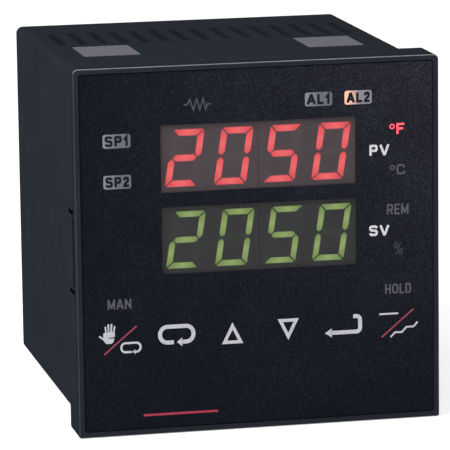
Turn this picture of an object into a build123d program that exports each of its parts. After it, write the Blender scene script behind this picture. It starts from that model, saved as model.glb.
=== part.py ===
"""Temperature controller for a square panel cut-out.

A moulded housing carries the rear panel with its screw terminals. The instrument slides into it
from the front: a bezel frame with a printed film, two rows of seven-segment digits, six keys, and
two upright boards that run in card guides and plug into edge connectors at the rear.

Millimetres. X points right, Y points into the depth and Z points up. The origin lies under the
middle of the whole, on the level of the bezel's lower edge.
"""

import os
from math import radians, sqrt, tan

from build123d import *

# Outer sizes
FACE = 96.0
DEPTH = 102.5
CASE = 91.8
WALL = 2.2
CASE_EDGE_RADIUS = 1.8
CASE_REAR_CHAMFER = 0.3
CORNER_RADIUS = 1.4
LOWER_CORNER_RADIUS = 0.5

# Bezel frame
FRAME_DEPTH = 3.2
FLANGE_DEPTH = 9.8
SEAM_GAP = 0.12
RIM = 1.4
RIM_EDGE_RADIUS = 0.4
FILM_RECESS = 0.3
FILM_THICKNESS = 0.5
FILM_GAP = 0.25
SKIRT_LENGTH = 7.0
SKIRT_WALL = 1.6
SKIRT_CLEARANCE = 0.4

# Front seal and panel gasket
SEAL_DEPTH = 1.6
SEAL_LIP = 0.7
SEAL_CLEARANCE = 0.3
GASKET_DEPTH = 0.8
GASKET_INSET = 0.5
GASKET_CLEARANCE = 0.15

# Release fingers in the sides of the flange
FINGER_HEIGHT = 19.9
FINGER_LENGTH = 6.4
FINGER_THICKNESS = 1.8
FINGER_SLOT = 0.9
NAIL_NOTCH_HEIGHT = 25.4
NAIL_NOTCH_LENGTH = 1.1
NAIL_NOTCH_DEPTH = 2.2
NOSE_HEIGHT = 12.0
NOSE_LENGTH = 2.0
NOSE_CLEARANCE = 0.3
CATCH_MARGIN = 0.5

# Ventilation slots
VENT_COUNT = 15
VENT_PITCH = 5.65
VENT_WIDTH = 2.3
VENT_LENGTH = 23.4
VENT_REAR_MARGIN = 18.6

# Pads on the top of the case
PAD_WIDTH = 15.2
PAD_LENGTH = 19.2
PAD_THICKNESS = 0.7
PAD_X = 30.4
PAD_VENT_GAP = 3.1
PAD_SIDE_GAP = 0.3
PAD_END_GAP = 1.2
PAD_SINK = 0.15
PAD_CORNER_RADIUS = 0.6

# Digits and their windows
DIGIT_WIDTH = 8.4
DIGIT_HEIGHT = 14.8
DIGIT_PITCH = 12.85
DIGIT_SLANT = 9.0
STROKE = {"pv": 1.65, "sv": 1.5}
SEGMENT_GAP = 0.34
SEGMENT_CORNER_CUT = 0.6
SEGMENT_DEPTH = 1.2
READING = "2050"
LIT_SEGMENTS = {"0": "abcdef", "2": "abged", "5": "afgcd"}
ALL_SEGMENTS = "abcdefg"
WINDOW_MARGIN = 1.35
WINDOW_SPACING = 3.8
WINDOW_LAP = 0.6
WINDOW_X = 0.2
READOUT_Z = 13.2
MODULE_DEPTH = 8.0
MODULE_GAP = 0.1
MODULE_CLEARANCE = 0.3
MODULE_FILM_GAP = 0.2

# Indicator lights: one column at each side and a row above the digits
LIGHT_COLUMN_X = 36.9
LIGHT_TOP_Z = 29.05
LIGHT_PITCH = 10.6
LIGHT_ROW_Z = 37.6
ALARM_LIGHT_X = 16.05
LIGHT_WIDTH = 5.0
LIGHT_HEIGHT = 2.4
LIGHT_CLEARANCE = 0.3
LIGHT_FILM_GAP = 0.2

# Keys
KEY_NAMES = ("manual", "loop", "up", "down", "enter", "ramp")
KEY_PITCH = 14.75
KEY_ROW_Z = -22.4
KEY_TRAVEL = 0.25
KEY_FREE_PLAY = 0.1
STEM_RADIUS = 1.75
STEM_HOLE_CLEARANCE = 0.25
STEM_BORE_CLEARANCE = 0.08
STEM_COLLAR_RADIUS = 2.3
STEM_COLLAR_LENGTH = 0.7
STEM_EDGE_CHAMFER = 0.2
SWITCH_SIZE = 6.0
SWITCH_HEIGHT = 3.5
SWITCH_COVER = 0.6
SWITCH_CAVITY_CLEARANCE = 0.2

# Boards
BOARD_THICKNESS = 1.6
BOARD_CLEARANCE = 0.4
BOARD_X = 25.4
BOARD_EDGE_GAP = 0.5
POST_RADIUS = 3.0
POST_INSET = 3.6
HEADER_WIDTH = 2.5
HEADER_LENGTH = 6.0
HEADER_HEIGHT = 40.0

# Card guides
GUIDE_START = 16.0
GUIDE_RIB = 1.2
GUIDE_HEIGHT = 3.0
GUIDE_CLEARANCE = 0.35

# Rear panel and its corner posts
REAR_RECESS = 8.5
PANEL_THICKNESS = 2.0
PANEL_CLEARANCE = 0.3
REAR_POST_SIZE = 6.8
REAR_POST_LENGTH = 10.0
REAR_SCREW_INSET = 3.5

# Edge connectors
CONNECTOR_WIDTH = 8.0
CONNECTOR_DEPTH = 8.0
CONNECTOR_END = 3.0
CONNECTOR_SLOT_DEPTH = 7.0
CONNECTOR_SLOT_CLEARANCE = 0.2
TONGUE_END_GAP = 0.5
SHOULDER_GAP = 1.5

# Terminal blocks
TERMINALS = 9
TERMINAL_PITCH = 7.62
BARRIER = 1.6
BLOCK_WIDTH = 15.0
BLOCK_DEPTH = 8.0
BLOCK_OFFSET = 8.0
BLOCK_INNER_WALL = 1.6
WELL_DEPTH = 5.5
BAR_THICKNESS = 0.8
BAR_WIDTH = 4.0
BAR_FOOT_REACH = 4.0
BAR_SLOT_CLEARANCE = 0.15
CLAMP_WIDTH = 5.4
CLAMP_LENGTH = 7.6
CLAMP_THICKNESS = 0.8
CLAMP_LIFT = 0.6

# Screws
SCREW_HOLE_CLEARANCE = 0.05
TERMINAL_SCREW_RADIUS = 1.5
TERMINAL_HEAD_RADIUS = 2.6
TERMINAL_HEAD_HEIGHT = 2.0
SMALL_SCREW_RADIUS = 1.3
SMALL_HEAD_RADIUS = 2.4
SMALL_HEAD_HEIGHT = 1.8
SMALL_SCREW_GRIP = 5.0
HEAD_EDGE_RADIUS = 0.7
DRIVE_WIDTH = 0.8
DRIVE_DEPTH = 0.9

# Parts on the power board
CORE_LENGTH = 32.0
CORE_HEIGHT = 27.0
CORE_STACK = 15.0
CORE_LEG = 10.0
CORE_YOKE = 5.5
COIL_REACH = 5.0
COIL_CLEARANCE = 0.15
TRANSFORMER_DEPTH_CENTRE = 46.0
TRANSFORMER_Z = -21.0
RELAY_LENGTH = 19.0
RELAY_WIDTH = 15.5
RELAY_HEIGHT = 15.2
RELAY_EDGE_RADIUS = 0.6
RELAY_REAR_MARGIN = 20.5
RELAY_Z = (9.0, 27.5)
CAPACITOR_RADIUS = 5.0
CAPACITOR_HEIGHT = 14.0
CAPACITOR_TOP_RADIUS = 0.6
CAPACITOR_DEPTH_CENTRE = 28.0
CAPACITOR_Z = (10.0, 24.0)

# Chips on the logic board: share of the board's depth, height of the centre, length and width
CHIP_HEIGHT = 3.6
CHIP_CHAMFER = 0.5
CHIPS = ((0.27, 8.0, 16.6, 16.6), (0.6, 22.0, 24.0, 8.0), (0.58, -12.0, 20.0, 8.0))

# Spacer between the boards
SPACER_REAR_MARGIN = 3.5
SPACER_HEIGHT = 10.0
SPACER_FOOT = 5.0
SPACER_WEB = 2.0

# Levels and sizes that follow from the above
FRONT = -DEPTH / 2
INNER = CASE - 2 * WALL
BEZEL_DEPTH = FRAME_DEPTH + FLANGE_DEPTH
FLANGE_FRONT = FRAME_DEPTH + SEAM_GAP
FILM_BACK = FILM_RECESS + FILM_THICKNESS
POCKET = FACE - 2 * RIM
VENT_START = DEPTH - VENT_REAR_MARGIN - VENT_LENGTH
PAD_DEPTH = VENT_START - PAD_VENT_GAP - PAD_LENGTH / 2
SKIRT = INNER - 2 * SKIRT_CLEARANCE
SKIRT_INSIDE = SKIRT - 2 * SKIRT_WALL
SEAL_BACK = FRAME_DEPTH + SEAL_DEPTH
WINDOW_WIDTH = len(READING) * DIGIT_PITCH
WINDOW_HEIGHT = DIGIT_HEIGHT + 2 * WINDOW_MARGIN
READOUT_HALF_PITCH = (WINDOW_HEIGHT + WINDOW_SPACING) / 2
WINDOW_Z = {"pv": READOUT_Z + READOUT_HALF_PITCH, "sv": READOUT_Z - READOUT_HALF_PITCH}
MODULE_WIDTH = (WINDOW_WIDTH + 2 * WINDOW_LAP - MODULE_GAP) / 2
MODULE_HEIGHT = WINDOW_HEIGHT + 2 * WINDOW_LAP
MODULE_FACE = FILM_BACK + MODULE_FILM_GAP
BOARD_FRONT = MODULE_FACE + MODULE_DEPTH
BOARD_BACK = BOARD_FRONT + BOARD_THICKNESS
DISPLAY_BOARD = SKIRT_INSIDE - 2 * BOARD_CLEARANCE
POST_OFFSET = DISPLAY_BOARD / 2 - POST_INSET
SWITCH_FRONT = BOARD_FRONT - SWITCH_HEIGHT
PANEL_BACK = DEPTH - REAR_RECESS
PANEL_FRONT = PANEL_BACK - PANEL_THICKNESS
CONNECTOR_FRONT = PANEL_FRONT - CONNECTOR_DEPTH
TONGUE_END = CONNECTOR_FRONT + CONNECTOR_SLOT_DEPTH - TONGUE_END_GAP
BOARD_SHOULDER = CONNECTOR_FRONT - SHOULDER_GAP
TONGUE_HEIGHT = (TERMINALS - 1) * TERMINAL_PITCH + BAR_WIDTH
MAIN_BOARD_HEIGHT = INNER - 2 * BOARD_EDGE_GAP
BOARD_FACE_X = BOARD_X - BOARD_THICKNESS / 2
REAR_POST_OFFSET = INNER / 2 - REAR_SCREW_INSET
BLOCK_X = BOARD_X + BLOCK_OFFSET
BLOCK_LENGTH = TERMINALS * TERMINAL_PITCH + BARRIER
BLOCK_BACK = PANEL_BACK + BLOCK_DEPTH
WELL_FLOOR = BLOCK_BACK - WELL_DEPTH
WELL_WIDTH = TERMINAL_PITCH - BARRIER
BAR_X = BLOCK_X - BLOCK_WIDTH / 2 + BLOCK_INNER_WALL + BAR_THICKNESS
CLAMP_FRONT = WELL_FLOOR + BAR_THICKNESS + CLAMP_LIFT
HEAD_FRONT = CLAMP_FRONT + CLAMP_THICKNESS


# Planes of the whole part
def at_depth(depth):
    """Plane behind the face at this depth, square to Y: local x right, local y up from mid-height."""
    return Plane(origin=(0, FRONT + depth, FACE / 2), x_dir=(1, 0, 0), z_dir=(0, -1, 0))


def at_side(x):
    """Plane square to X: local x is the depth behind the face, local y up from mid-height."""
    return Plane(origin=(x, FRONT, FACE / 2), x_dir=(0, 1, 0), z_dir=(1, 0, 0))


def at_height(z):
    """Plane square to Z: local x right, local y is the depth behind the face."""
    return Plane(origin=(0, FRONT, z), x_dir=(1, 0, 0), z_dir=(0, 0, 1))


# Positions that several pieces share
def corners(offset):
    """The four corners of a square about the middle of the face."""
    return [(x, z) for x in (-offset, offset) for z in (-offset, offset)]


def bezel_outline():
    """Outline of the bezel: round corners at the top, nearly sharp ones at the bottom."""
    with BuildSketch() as outline:
        Rectangle(FACE, FACE)
        fillet(outline.vertices().group_by(Axis.Y)[-1], CORNER_RADIUS)
        fillet(outline.vertices().group_by(Axis.Y)[0], LOWER_CORNER_RADIUS)
    return outline.sketch_local


def key_positions():
    """The centres of the six keys, from left to right."""
    first = -KEY_PITCH * (len(KEY_NAMES) - 1) / 2
    return [(first + KEY_PITCH * i, KEY_ROW_Z) for i in range(len(KEY_NAMES))]


def light_positions():
    """The centres of the lights behind the printed words."""
    right = [(LIGHT_COLUMN_X, LIGHT_TOP_Z - LIGHT_PITCH * row) for row in range(5)]
    left = [(-LIGHT_COLUMN_X, LIGHT_TOP_Z - LIGHT_PITCH * row) for row in (0, 1, 4)]
    above = [(x, LIGHT_ROW_Z) for x in (-ALARM_LIGHT_X, ALARM_LIGHT_X, ALARM_LIGHT_X + LIGHT_PITCH)]
    return right + left + above


def terminal_heights():
    """The heights of one column of terminals, from the lowest."""
    first = -TERMINAL_PITCH * (TERMINALS - 1) / 2
    return [first + TERMINAL_PITCH * i for i in range(TERMINALS)]


# Outlines of the digits
def segment_outlines(stroke):
    """The seven segments of one slanted digit, each as corner points about the digit's centre."""
    w = DIGIT_WIDTH / 2
    h = DIGIT_HEIGHT / 2
    gap = SEGMENT_GAP / sqrt(2)
    cut = SEGMENT_CORNER_CUT
    top = [
        (-w + cut, h),
        (w - cut, h),
        (w - cut / 2 - gap / 2, h - cut / 2 + gap / 2),
        (w - stroke - gap, h - stroke),
        (-w + stroke + gap, h - stroke),
        (-w + cut / 2 + gap / 2, h - cut / 2 + gap / 2),
    ]
    side = [
        (w - cut / 2 + gap / 2, h - cut / 2 - gap / 2),
        (w, h - cut - gap),
        (w, stroke / 2 + gap),
        (w - stroke / 2, gap),
        (w - stroke, stroke / 2 + gap),
        (w - stroke, h - stroke - gap),
    ]
    middle = [
        (-w + stroke / 2 + gap, 0),
        (-w + stroke + gap, stroke / 2),
        (w - stroke - gap, stroke / 2),
        (w - stroke / 2 - gap, 0),
        (w - stroke - gap, -stroke / 2),
        (-w + stroke + gap, -stroke / 2),
    ]
    upright = {
        "a": top,
        "b": side,
        "c": [(x, -y) for x, y in side],
        "d": [(x, -y) for x, y in top],
        "e": [(-x, -y) for x, y in side],
        "f": [(-x, y) for x, y in side],
        "g": middle,
    }
    slope = tan(radians(DIGIT_SLANT))
    return {name: [(x + y * slope, y) for x, y in points] for name, points in upright.items()}


def digit_centres(readout):
    """Each digit of the reading with the centre of its place in the window."""
    first = WINDOW_X - DIGIT_PITCH * (len(READING) - 1) / 2
    return [(digit, first + DIGIT_PITCH * i, WINDOW_Z[readout]) for i, digit in enumerate(READING)]


def segment_places(readout, lit):
    """The corner points of every segment of one reading that is lit, or that stays dark."""
    outlines = segment_outlines(STROKE[readout])
    places = []
    for digit, x0, z0 in digit_centres(readout):
        for name in ALL_SEGMENTS:
            if (name in LIT_SEGMENTS[digit]) == lit:
                places.append([(x0 + x, z0 + z) for x, z in outlines[name]])
    return places


pieces = {}

# Housing: sleeve and flange, open at both ends
with BuildPart() as housing:
    with BuildSketch(at_depth(FLANGE_FRONT)):
        add(bezel_outline())
    extrude(amount=-(BEZEL_DEPTH - FLANGE_FRONT))
    with BuildSketch(at_depth(BEZEL_DEPTH)):
        RectangleRounded(CASE, CASE, CASE_EDGE_RADIUS)
    extrude(amount=-(DEPTH - BEZEL_DEPTH))
    chamfer(housing.faces().sort_by(Axis.Y)[-1].edges(), CASE_REAR_CHAMFER)
    with BuildSketch(at_depth(FLANGE_FRONT)):
        Rectangle(INNER, INNER)
    extrude(amount=-(DEPTH - FLANGE_FRONT), mode=Mode.SUBTRACT)

    # Rebate for the front seal
    with BuildSketch(at_depth(FLANGE_FRONT)):
        Rectangle(*[INNER + 2 * (SEAL_LIP + SEAL_CLEARANCE)] * 2)
    extrude(amount=-(SEAL_BACK + SEAL_CLEARANCE - FLANGE_FRONT), mode=Mode.SUBTRACT)

    # Card guides, a pair of ribs for each board at the top and at the bottom
    with BuildSketch(at_depth(GUIDE_START)):
        rib_x = BOARD_THICKNESS / 2 + GUIDE_CLEARANCE + GUIDE_RIB / 2
        rib_z = (INNER - GUIDE_HEIGHT) / 2
        rib_places = [
            (board + side * rib_x, level)
            for board in (-BOARD_X, BOARD_X)
            for side in (-1, 1)
            for level in (-rib_z, rib_z)
        ]
        with Locations(*rib_places):
            Rectangle(GUIDE_RIB, GUIDE_HEIGHT)
    extrude(amount=-(BOARD_SHOULDER - GUIDE_START))

    # Corner posts that the rear panel is screwed to
    with BuildSketch(at_depth(PANEL_FRONT)):
        with Locations(*corners((INNER - REAR_POST_SIZE) / 2)):
            Rectangle(REAR_POST_SIZE, REAR_POST_SIZE)
    extrude(amount=REAR_POST_LENGTH)
    with BuildSketch(at_depth(PANEL_FRONT)):
        with Locations(*corners(REAR_POST_OFFSET)):
            Circle(SMALL_SCREW_RADIUS + SCREW_HOLE_CLEARANCE)
    extrude(amount=SMALL_SCREW_GRIP + SCREW_HOLE_CLEARANCE, mode=Mode.SUBTRACT)

    # Ventilation slots through the top and the bottom wall
    for level in (FACE / 2 + CASE / 2 - WALL, FACE / 2 - CASE / 2):
        with BuildSketch(at_height(level)):
            with Locations((0, VENT_START + VENT_LENGTH / 2)):
                with GridLocations(VENT_PITCH, VENT_LENGTH, VENT_COUNT, 1):
                    Rectangle(VENT_WIDTH, VENT_LENGTH)
        extrude(amount=WALL, mode=Mode.SUBTRACT)

    # Recesses for the pads in the top wall
    with BuildSketch(at_height(FACE / 2 + CASE / 2)):
        with Locations((-PAD_X, PAD_DEPTH), (PAD_X, PAD_DEPTH)):
            Rectangle(PAD_WIDTH + 2 * PAD_SIDE_GAP, PAD_LENGTH + 2 * PAD_END_GAP)
    extrude(amount=-(PAD_THICKNESS + PAD_SINK), mode=Mode.SUBTRACT)

    # Release finger in each side of the flange: slots, relief behind it and a notch for the nail
    for side in (-1, 1):
        with BuildSketch(at_side(side * FACE / 2)):
            with Locations((FRAME_DEPTH + FINGER_LENGTH / 2, 0)):
                with GridLocations(FINGER_LENGTH, FINGER_HEIGHT + FINGER_SLOT, 1, 2):
                    Rectangle(FINGER_LENGTH, FINGER_SLOT)
        extrude(amount=-side * (FACE - INNER) / 2, mode=Mode.SUBTRACT)
        with BuildSketch(at_side(side * INNER / 2)):
            with Locations((FRAME_DEPTH + FINGER_LENGTH / 2, 0)):
                Rectangle(FINGER_LENGTH, FINGER_HEIGHT + FINGER_SLOT)
        extrude(amount=side * ((FACE - INNER) / 2 - FINGER_THICKNESS), mode=Mode.SUBTRACT)
        with BuildSketch(at_side(side * FACE / 2)):
            with Locations((FLANGE_FRONT + NAIL_NOTCH_LENGTH / 2, 0)):
                Rectangle(NAIL_NOTCH_LENGTH, NAIL_NOTCH_HEIGHT)
        extrude(amount=-side * NAIL_NOTCH_DEPTH, mode=Mode.SUBTRACT)

    # Nose on the inside of each finger, a wedge with its steep side towards the face
    nose_root = FACE / 2 - FINGER_THICKNESS
    nose_tip = SKIRT / 2 + NOSE_CLEARANCE
    nose_start = SEAL_BACK + SEAL_CLEARANCE + CATCH_MARGIN
    for side in (-1, 1):
        with BuildSketch(at_height(FACE / 2 - NOSE_HEIGHT / 2)):
            with BuildLine():
                Polyline(
                    (side * nose_root, nose_start),
                    (side * nose_tip, nose_start),
                    (side * nose_root, nose_start + NOSE_LENGTH),
                    close=True,
                )
            make_face()
        extrude(amount=NOSE_HEIGHT)
pieces["housing"] = housing

# Panel gasket behind the flange
with BuildPart() as panel_gasket:
    with BuildSketch(at_depth(BEZEL_DEPTH)):
        RectangleRounded(*[FACE - 2 * GASKET_INSET] * 2, CORNER_RADIUS)
        RectangleRounded(*[CASE + 2 * GASKET_CLEARANCE] * 2, CASE_EDGE_RADIUS, mode=Mode.SUBTRACT)
    extrude(amount=-GASKET_DEPTH)
pieces["panel_gasket"] = panel_gasket

# Pads in the recesses of the top wall
for name, x in (("top_pad_left", -PAD_X), ("top_pad_right", PAD_X)):
    with BuildPart() as top_pad:
        with BuildSketch(at_height(FACE / 2 + CASE / 2 - PAD_SINK)):
            with Locations((x, PAD_DEPTH)):
                RectangleRounded(PAD_WIDTH, PAD_LENGTH, PAD_CORNER_RADIUS)
        extrude(amount=-PAD_THICKNESS)
    pieces[name] = top_pad

# Bezel frame: plate with a rim, skirt and screw posts
with BuildPart() as front_frame:
    with BuildSketch(at_depth(0)):
        add(bezel_outline())
    extrude(amount=-FRAME_DEPTH)
    fillet(front_frame.faces().sort_by(Axis.Y)[0].edges(), RIM_EDGE_RADIUS)
    with BuildSketch(at_depth(0)):
        RectangleRounded(POCKET, POCKET, FILM_GAP + CORNER_RADIUS / 2)
    extrude(amount=-FILM_BACK, mode=Mode.SUBTRACT)
    with BuildSketch(at_depth(FRAME_DEPTH)):
        Rectangle(SKIRT, SKIRT)
        Rectangle(SKIRT_INSIDE, SKIRT_INSIDE, mode=Mode.SUBTRACT)
    extrude(amount=-SKIRT_LENGTH)
    with BuildSketch(at_depth(FRAME_DEPTH)):
        with Locations(*corners(POST_OFFSET)):
            Circle(POST_RADIUS)
    extrude(amount=-(BOARD_FRONT - FRAME_DEPTH))

    # Screw holes in the posts
    with BuildSketch(at_depth(BOARD_FRONT)):
        with Locations(*corners(POST_OFFSET)):
            Circle(SMALL_SCREW_RADIUS + SCREW_HOLE_CLEARANCE)
    extrude(amount=SMALL_SCREW_GRIP + SCREW_HOLE_CLEARANCE, mode=Mode.SUBTRACT)

    # Openings for the digit modules, the lights and the key stems
    with BuildSketch(at_depth(FILM_BACK)):
        with Locations(*[(WINDOW_X, z) for z in WINDOW_Z.values()]):
            Rectangle(
                2 * MODULE_WIDTH + MODULE_GAP + 2 * MODULE_CLEARANCE,
                MODULE_HEIGHT + 2 * MODULE_CLEARANCE,
            )
        with Locations(*light_positions()):
            Rectangle(LIGHT_WIDTH + 2 * LIGHT_CLEARANCE, LIGHT_HEIGHT + 2 * LIGHT_CLEARANCE)
        with Locations(*key_positions()):
            Circle(STEM_RADIUS + STEM_HOLE_CLEARANCE)
    extrude(amount=-(FRAME_DEPTH - FILM_BACK), mode=Mode.SUBTRACT)

    # Catches for the noses of the release fingers, through both side walls of the skirt
    with BuildSketch(at_side(-SKIRT / 2)):
        with Locations((nose_start + NOSE_LENGTH / 2, 0)):
            Rectangle(NOSE_LENGTH + 2 * CATCH_MARGIN, NOSE_HEIGHT + 2 * CATCH_MARGIN)
    extrude(amount=SKIRT_WALL, mode=Mode.SUBTRACT)
    with BuildSketch(at_side(SKIRT / 2)):
        with Locations((nose_start + NOSE_LENGTH / 2, 0)):
            Rectangle(NOSE_LENGTH + 2 * CATCH_MARGIN, NOSE_HEIGHT + 2 * CATCH_MARGIN)
    extrude(amount=-SKIRT_WALL, mode=Mode.SUBTRACT)
pieces["front_frame"] = front_frame

# Seal around the skirt
with BuildPart() as front_seal:
    with BuildSketch(at_depth(FRAME_DEPTH)):
        Rectangle(*[INNER + 2 * SEAL_LIP] * 2)
        Rectangle(SKIRT, SKIRT, mode=Mode.SUBTRACT)
    extrude(amount=-SEAL_DEPTH)
pieces["front_seal"] = front_seal

# Printed film with its two window openings
with BuildPart() as front_film:
    with BuildSketch(at_depth(FILM_RECESS)):
        RectangleRounded(*[POCKET - 2 * FILM_GAP] * 2, CORNER_RADIUS / 2)
        with Locations(*[(WINDOW_X, z) for z in WINDOW_Z.values()]):
            Rectangle(WINDOW_WIDTH, WINDOW_HEIGHT, mode=Mode.SUBTRACT)
    extrude(amount=-FILM_THICKNESS)
pieces["front_film"] = front_film

# Clear windows, set into the film
for readout, level in WINDOW_Z.items():
    with BuildPart() as window:
        with BuildSketch(at_depth(FILM_RECESS)):
            with Locations((WINDOW_X, level)):
                Rectangle(WINDOW_WIDTH, WINDOW_HEIGHT)
        extrude(amount=-FILM_THICKNESS)
    pieces[readout + "_window"] = window

# Two-digit modules, with a cavity for each segment, and the light bodies that fill the cavities
for readout, level in WINDOW_Z.items():
    for side, sign in (("left", -1), ("right", 1)):
        with BuildPart() as module:
            with BuildSketch(at_depth(MODULE_FACE)):
                with Locations((WINDOW_X + sign * (MODULE_WIDTH + MODULE_GAP) / 2, level)):
                    Rectangle(MODULE_WIDTH, MODULE_HEIGHT)
            extrude(amount=-MODULE_DEPTH)
            with BuildSketch(at_depth(MODULE_FACE)):
                for points in segment_places(readout, True) + segment_places(readout, False):
                    Polygon(*points, align=None)
            extrude(amount=-SEGMENT_DEPTH, mode=Mode.SUBTRACT)
        pieces[f"{readout}_module_{side}"] = module
    for state, lit in (("lit", True), ("dark", False)):
        with BuildPart() as segments:
            with BuildSketch(at_depth(MODULE_FACE)):
                for points in segment_places(readout, lit):
                    Polygon(*points, align=None)
            extrude(amount=-SEGMENT_DEPTH)
        pieces[f"{readout}_{state}_segments"] = segments

# Display board
with BuildPart() as display_board:
    with BuildSketch(at_depth(BOARD_FRONT)):
        Rectangle(DISPLAY_BOARD, DISPLAY_BOARD)
        with Locations(*corners(POST_OFFSET)):
            Circle(SMALL_SCREW_RADIUS + 2 * SCREW_HOLE_CLEARANCE, mode=Mode.SUBTRACT)
    extrude(amount=-BOARD_THICKNESS)
pieces["display_board"] = display_board

# Indicator lights, which stand on the display board
with BuildPart() as indicator_lights:
    with BuildSketch(at_depth(FILM_BACK + LIGHT_FILM_GAP)):
        with Locations(*light_positions()):
            Rectangle(LIGHT_WIDTH, LIGHT_HEIGHT)
    extrude(amount=-(BOARD_FRONT - FILM_BACK - LIGHT_FILM_GAP))
pieces["indicator_lights"] = indicator_lights

# Key switch bodies: a bore in the cover, and a cavity for the stem's collar behind it
collar_front = SWITCH_FRONT + SWITCH_COVER
collar_back = collar_front + STEM_COLLAR_LENGTH
with BuildPart() as key_switches:
    with BuildSketch(at_depth(SWITCH_FRONT)):
        with Locations(*key_positions()):
            Rectangle(SWITCH_SIZE, SWITCH_SIZE)
    extrude(amount=-SWITCH_HEIGHT)
    with BuildSketch(at_depth(SWITCH_FRONT)):
        with Locations(*key_positions()):
            Circle(STEM_RADIUS + STEM_BORE_CLEARANCE)
    extrude(amount=-SWITCH_COVER, mode=Mode.SUBTRACT)
    with BuildSketch(at_depth(collar_front - SWITCH_CAVITY_CLEARANCE / 2)):
        with Locations(*key_positions()):
            Circle(STEM_COLLAR_RADIUS + SWITCH_CAVITY_CLEARANCE)
    cavity_length = STEM_COLLAR_LENGTH + KEY_TRAVEL + 2 * SWITCH_CAVITY_CLEARANCE
    extrude(amount=-cavity_length, mode=Mode.SUBTRACT)
pieces["key_switches"] = key_switches

# Key stems: the film pushes them, and a collar holds each in its switch
for name, (x, z) in zip(KEY_NAMES, key_positions()):
    with BuildPart() as stem:
        with BuildSketch(at_depth(FILM_BACK + KEY_FREE_PLAY)):
            with Locations((x, z)):
                Circle(STEM_RADIUS)
        extrude(amount=-(collar_back - FILM_BACK - KEY_FREE_PLAY))
        chamfer(stem.edges().sort_by(Axis.Y)[0], STEM_EDGE_CHAMFER)
        with BuildSketch(at_depth(collar_front)):
            with Locations((x, z)):
                Circle(STEM_COLLAR_RADIUS)
        extrude(amount=-STEM_COLLAR_LENGTH)
    pieces["key_stem_" + name] = stem

# Screws that hold the display board to the posts of the frame
with BuildPart() as board_screws:
    with BuildSketch(at_depth(BOARD_BACK)):
        with Locations(*corners(POST_OFFSET)):
            Circle(SMALL_HEAD_RADIUS)
    extrude(amount=-SMALL_HEAD_HEIGHT)
    fillet(board_screws.edges().group_by(Axis.Y)[-1], HEAD_EDGE_RADIUS)
    with BuildSketch(at_depth(BOARD_BACK)):
        with Locations(*corners(POST_OFFSET)):
            Circle(SMALL_SCREW_RADIUS)
    extrude(amount=BOARD_THICKNESS + SMALL_SCREW_GRIP)
    with BuildSketch(at_depth(BOARD_BACK + SMALL_HEAD_HEIGHT)):
        with Locations(*corners(POST_OFFSET)):
            Rectangle(2 * SMALL_HEAD_RADIUS, DRIVE_WIDTH)
    extrude(amount=DRIVE_DEPTH, mode=Mode.SUBTRACT)
pieces["board_screws"] = board_screws

# Power board and logic board, upright, each with a tongue for its edge connector
for name, x in (("power_board", -BOARD_X), ("logic_board", BOARD_X)):
    with BuildPart() as board:
        with BuildSketch(at_side(x - BOARD_THICKNESS / 2)):
            with Locations((BOARD_BACK, 0)):
                Rectangle(
                    BOARD_SHOULDER - BOARD_BACK, MAIN_BOARD_HEIGHT, align=(Align.MIN, Align.CENTER)
                )
                Rectangle(TONGUE_END - BOARD_BACK, TONGUE_HEIGHT, align=(Align.MIN, Align.CENTER))
        extrude(amount=BOARD_THICKNESS)
    pieces[name] = board

# Pin headers that join the two boards to the display board
with BuildPart() as board_headers:
    with BuildSketch(at_depth(BOARD_BACK)):
        with Locations((-BOARD_FACE_X + HEADER_WIDTH / 2, 0), (BOARD_FACE_X - HEADER_WIDTH / 2, 0)):
            Rectangle(HEADER_WIDTH, HEADER_HEIGHT)
    extrude(amount=-HEADER_LENGTH)
pieces["board_headers"] = board_headers

# Transformer: laminated core with two windows, and the coil around its middle leg
transformer_x = -BOARD_FACE_X + CORE_STACK / 2 + COIL_REACH
core_window = (CORE_LENGTH - CORE_LEG - 2 * CORE_YOKE) / 2
core_window_height = CORE_HEIGHT - 2 * CORE_YOKE
with BuildPart() as transformer_core:
    with BuildSketch(at_side(transformer_x - CORE_STACK / 2)):
        with Locations((TRANSFORMER_DEPTH_CENTRE, TRANSFORMER_Z)):
            Rectangle(CORE_LENGTH, CORE_HEIGHT)
            with GridLocations(CORE_LEG + core_window, CORE_HEIGHT, 2, 1):
                Rectangle(core_window, core_window_height, mode=Mode.SUBTRACT)
    extrude(amount=CORE_STACK)
pieces["transformer_core"] = transformer_core

with BuildPart() as transformer_coil:
    with BuildSketch(at_height(FACE / 2 + TRANSFORMER_Z - core_window_height / 2 + COIL_CLEARANCE)):
        with Locations((transformer_x, TRANSFORMER_DEPTH_CENTRE)):
            RectangleRounded(
                CORE_STACK + 2 * COIL_REACH,
                CORE_LEG + 2 * (core_window - COIL_CLEARANCE),
                COIL_REACH / 2,
            )
            Rectangle(
                CORE_STACK + 2 * COIL_CLEARANCE, CORE_LEG + 2 * COIL_CLEARANCE, mode=Mode.SUBTRACT
            )
    extrude(amount=core_window_height - 2 * COIL_CLEARANCE)
pieces["transformer_coil"] = transformer_coil

# Relays
with BuildPart() as relays:
    with BuildSketch(at_side(-BOARD_FACE_X)):
        with Locations(*[(BOARD_SHOULDER - RELAY_REAR_MARGIN, z) for z in RELAY_Z]):
            Rectangle(RELAY_LENGTH, RELAY_WIDTH)
    extrude(amount=RELAY_HEIGHT)
    fillet(relays.edges().group_by(Axis.X)[-1], RELAY_EDGE_RADIUS)
pieces["relays"] = relays

# Filter capacitors
with BuildPart() as filter_capacitors:
    with BuildSketch(at_side(-BOARD_FACE_X)):
        with Locations(*[(CAPACITOR_DEPTH_CENTRE, z) for z in CAPACITOR_Z]):
            Circle(CAPACITOR_RADIUS)
    extrude(amount=CAPACITOR_HEIGHT)
    fillet(filter_capacitors.edges().group_by(Axis.X)[-1], CAPACITOR_TOP_RADIUS)
pieces["filter_capacitors"] = filter_capacitors

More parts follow.
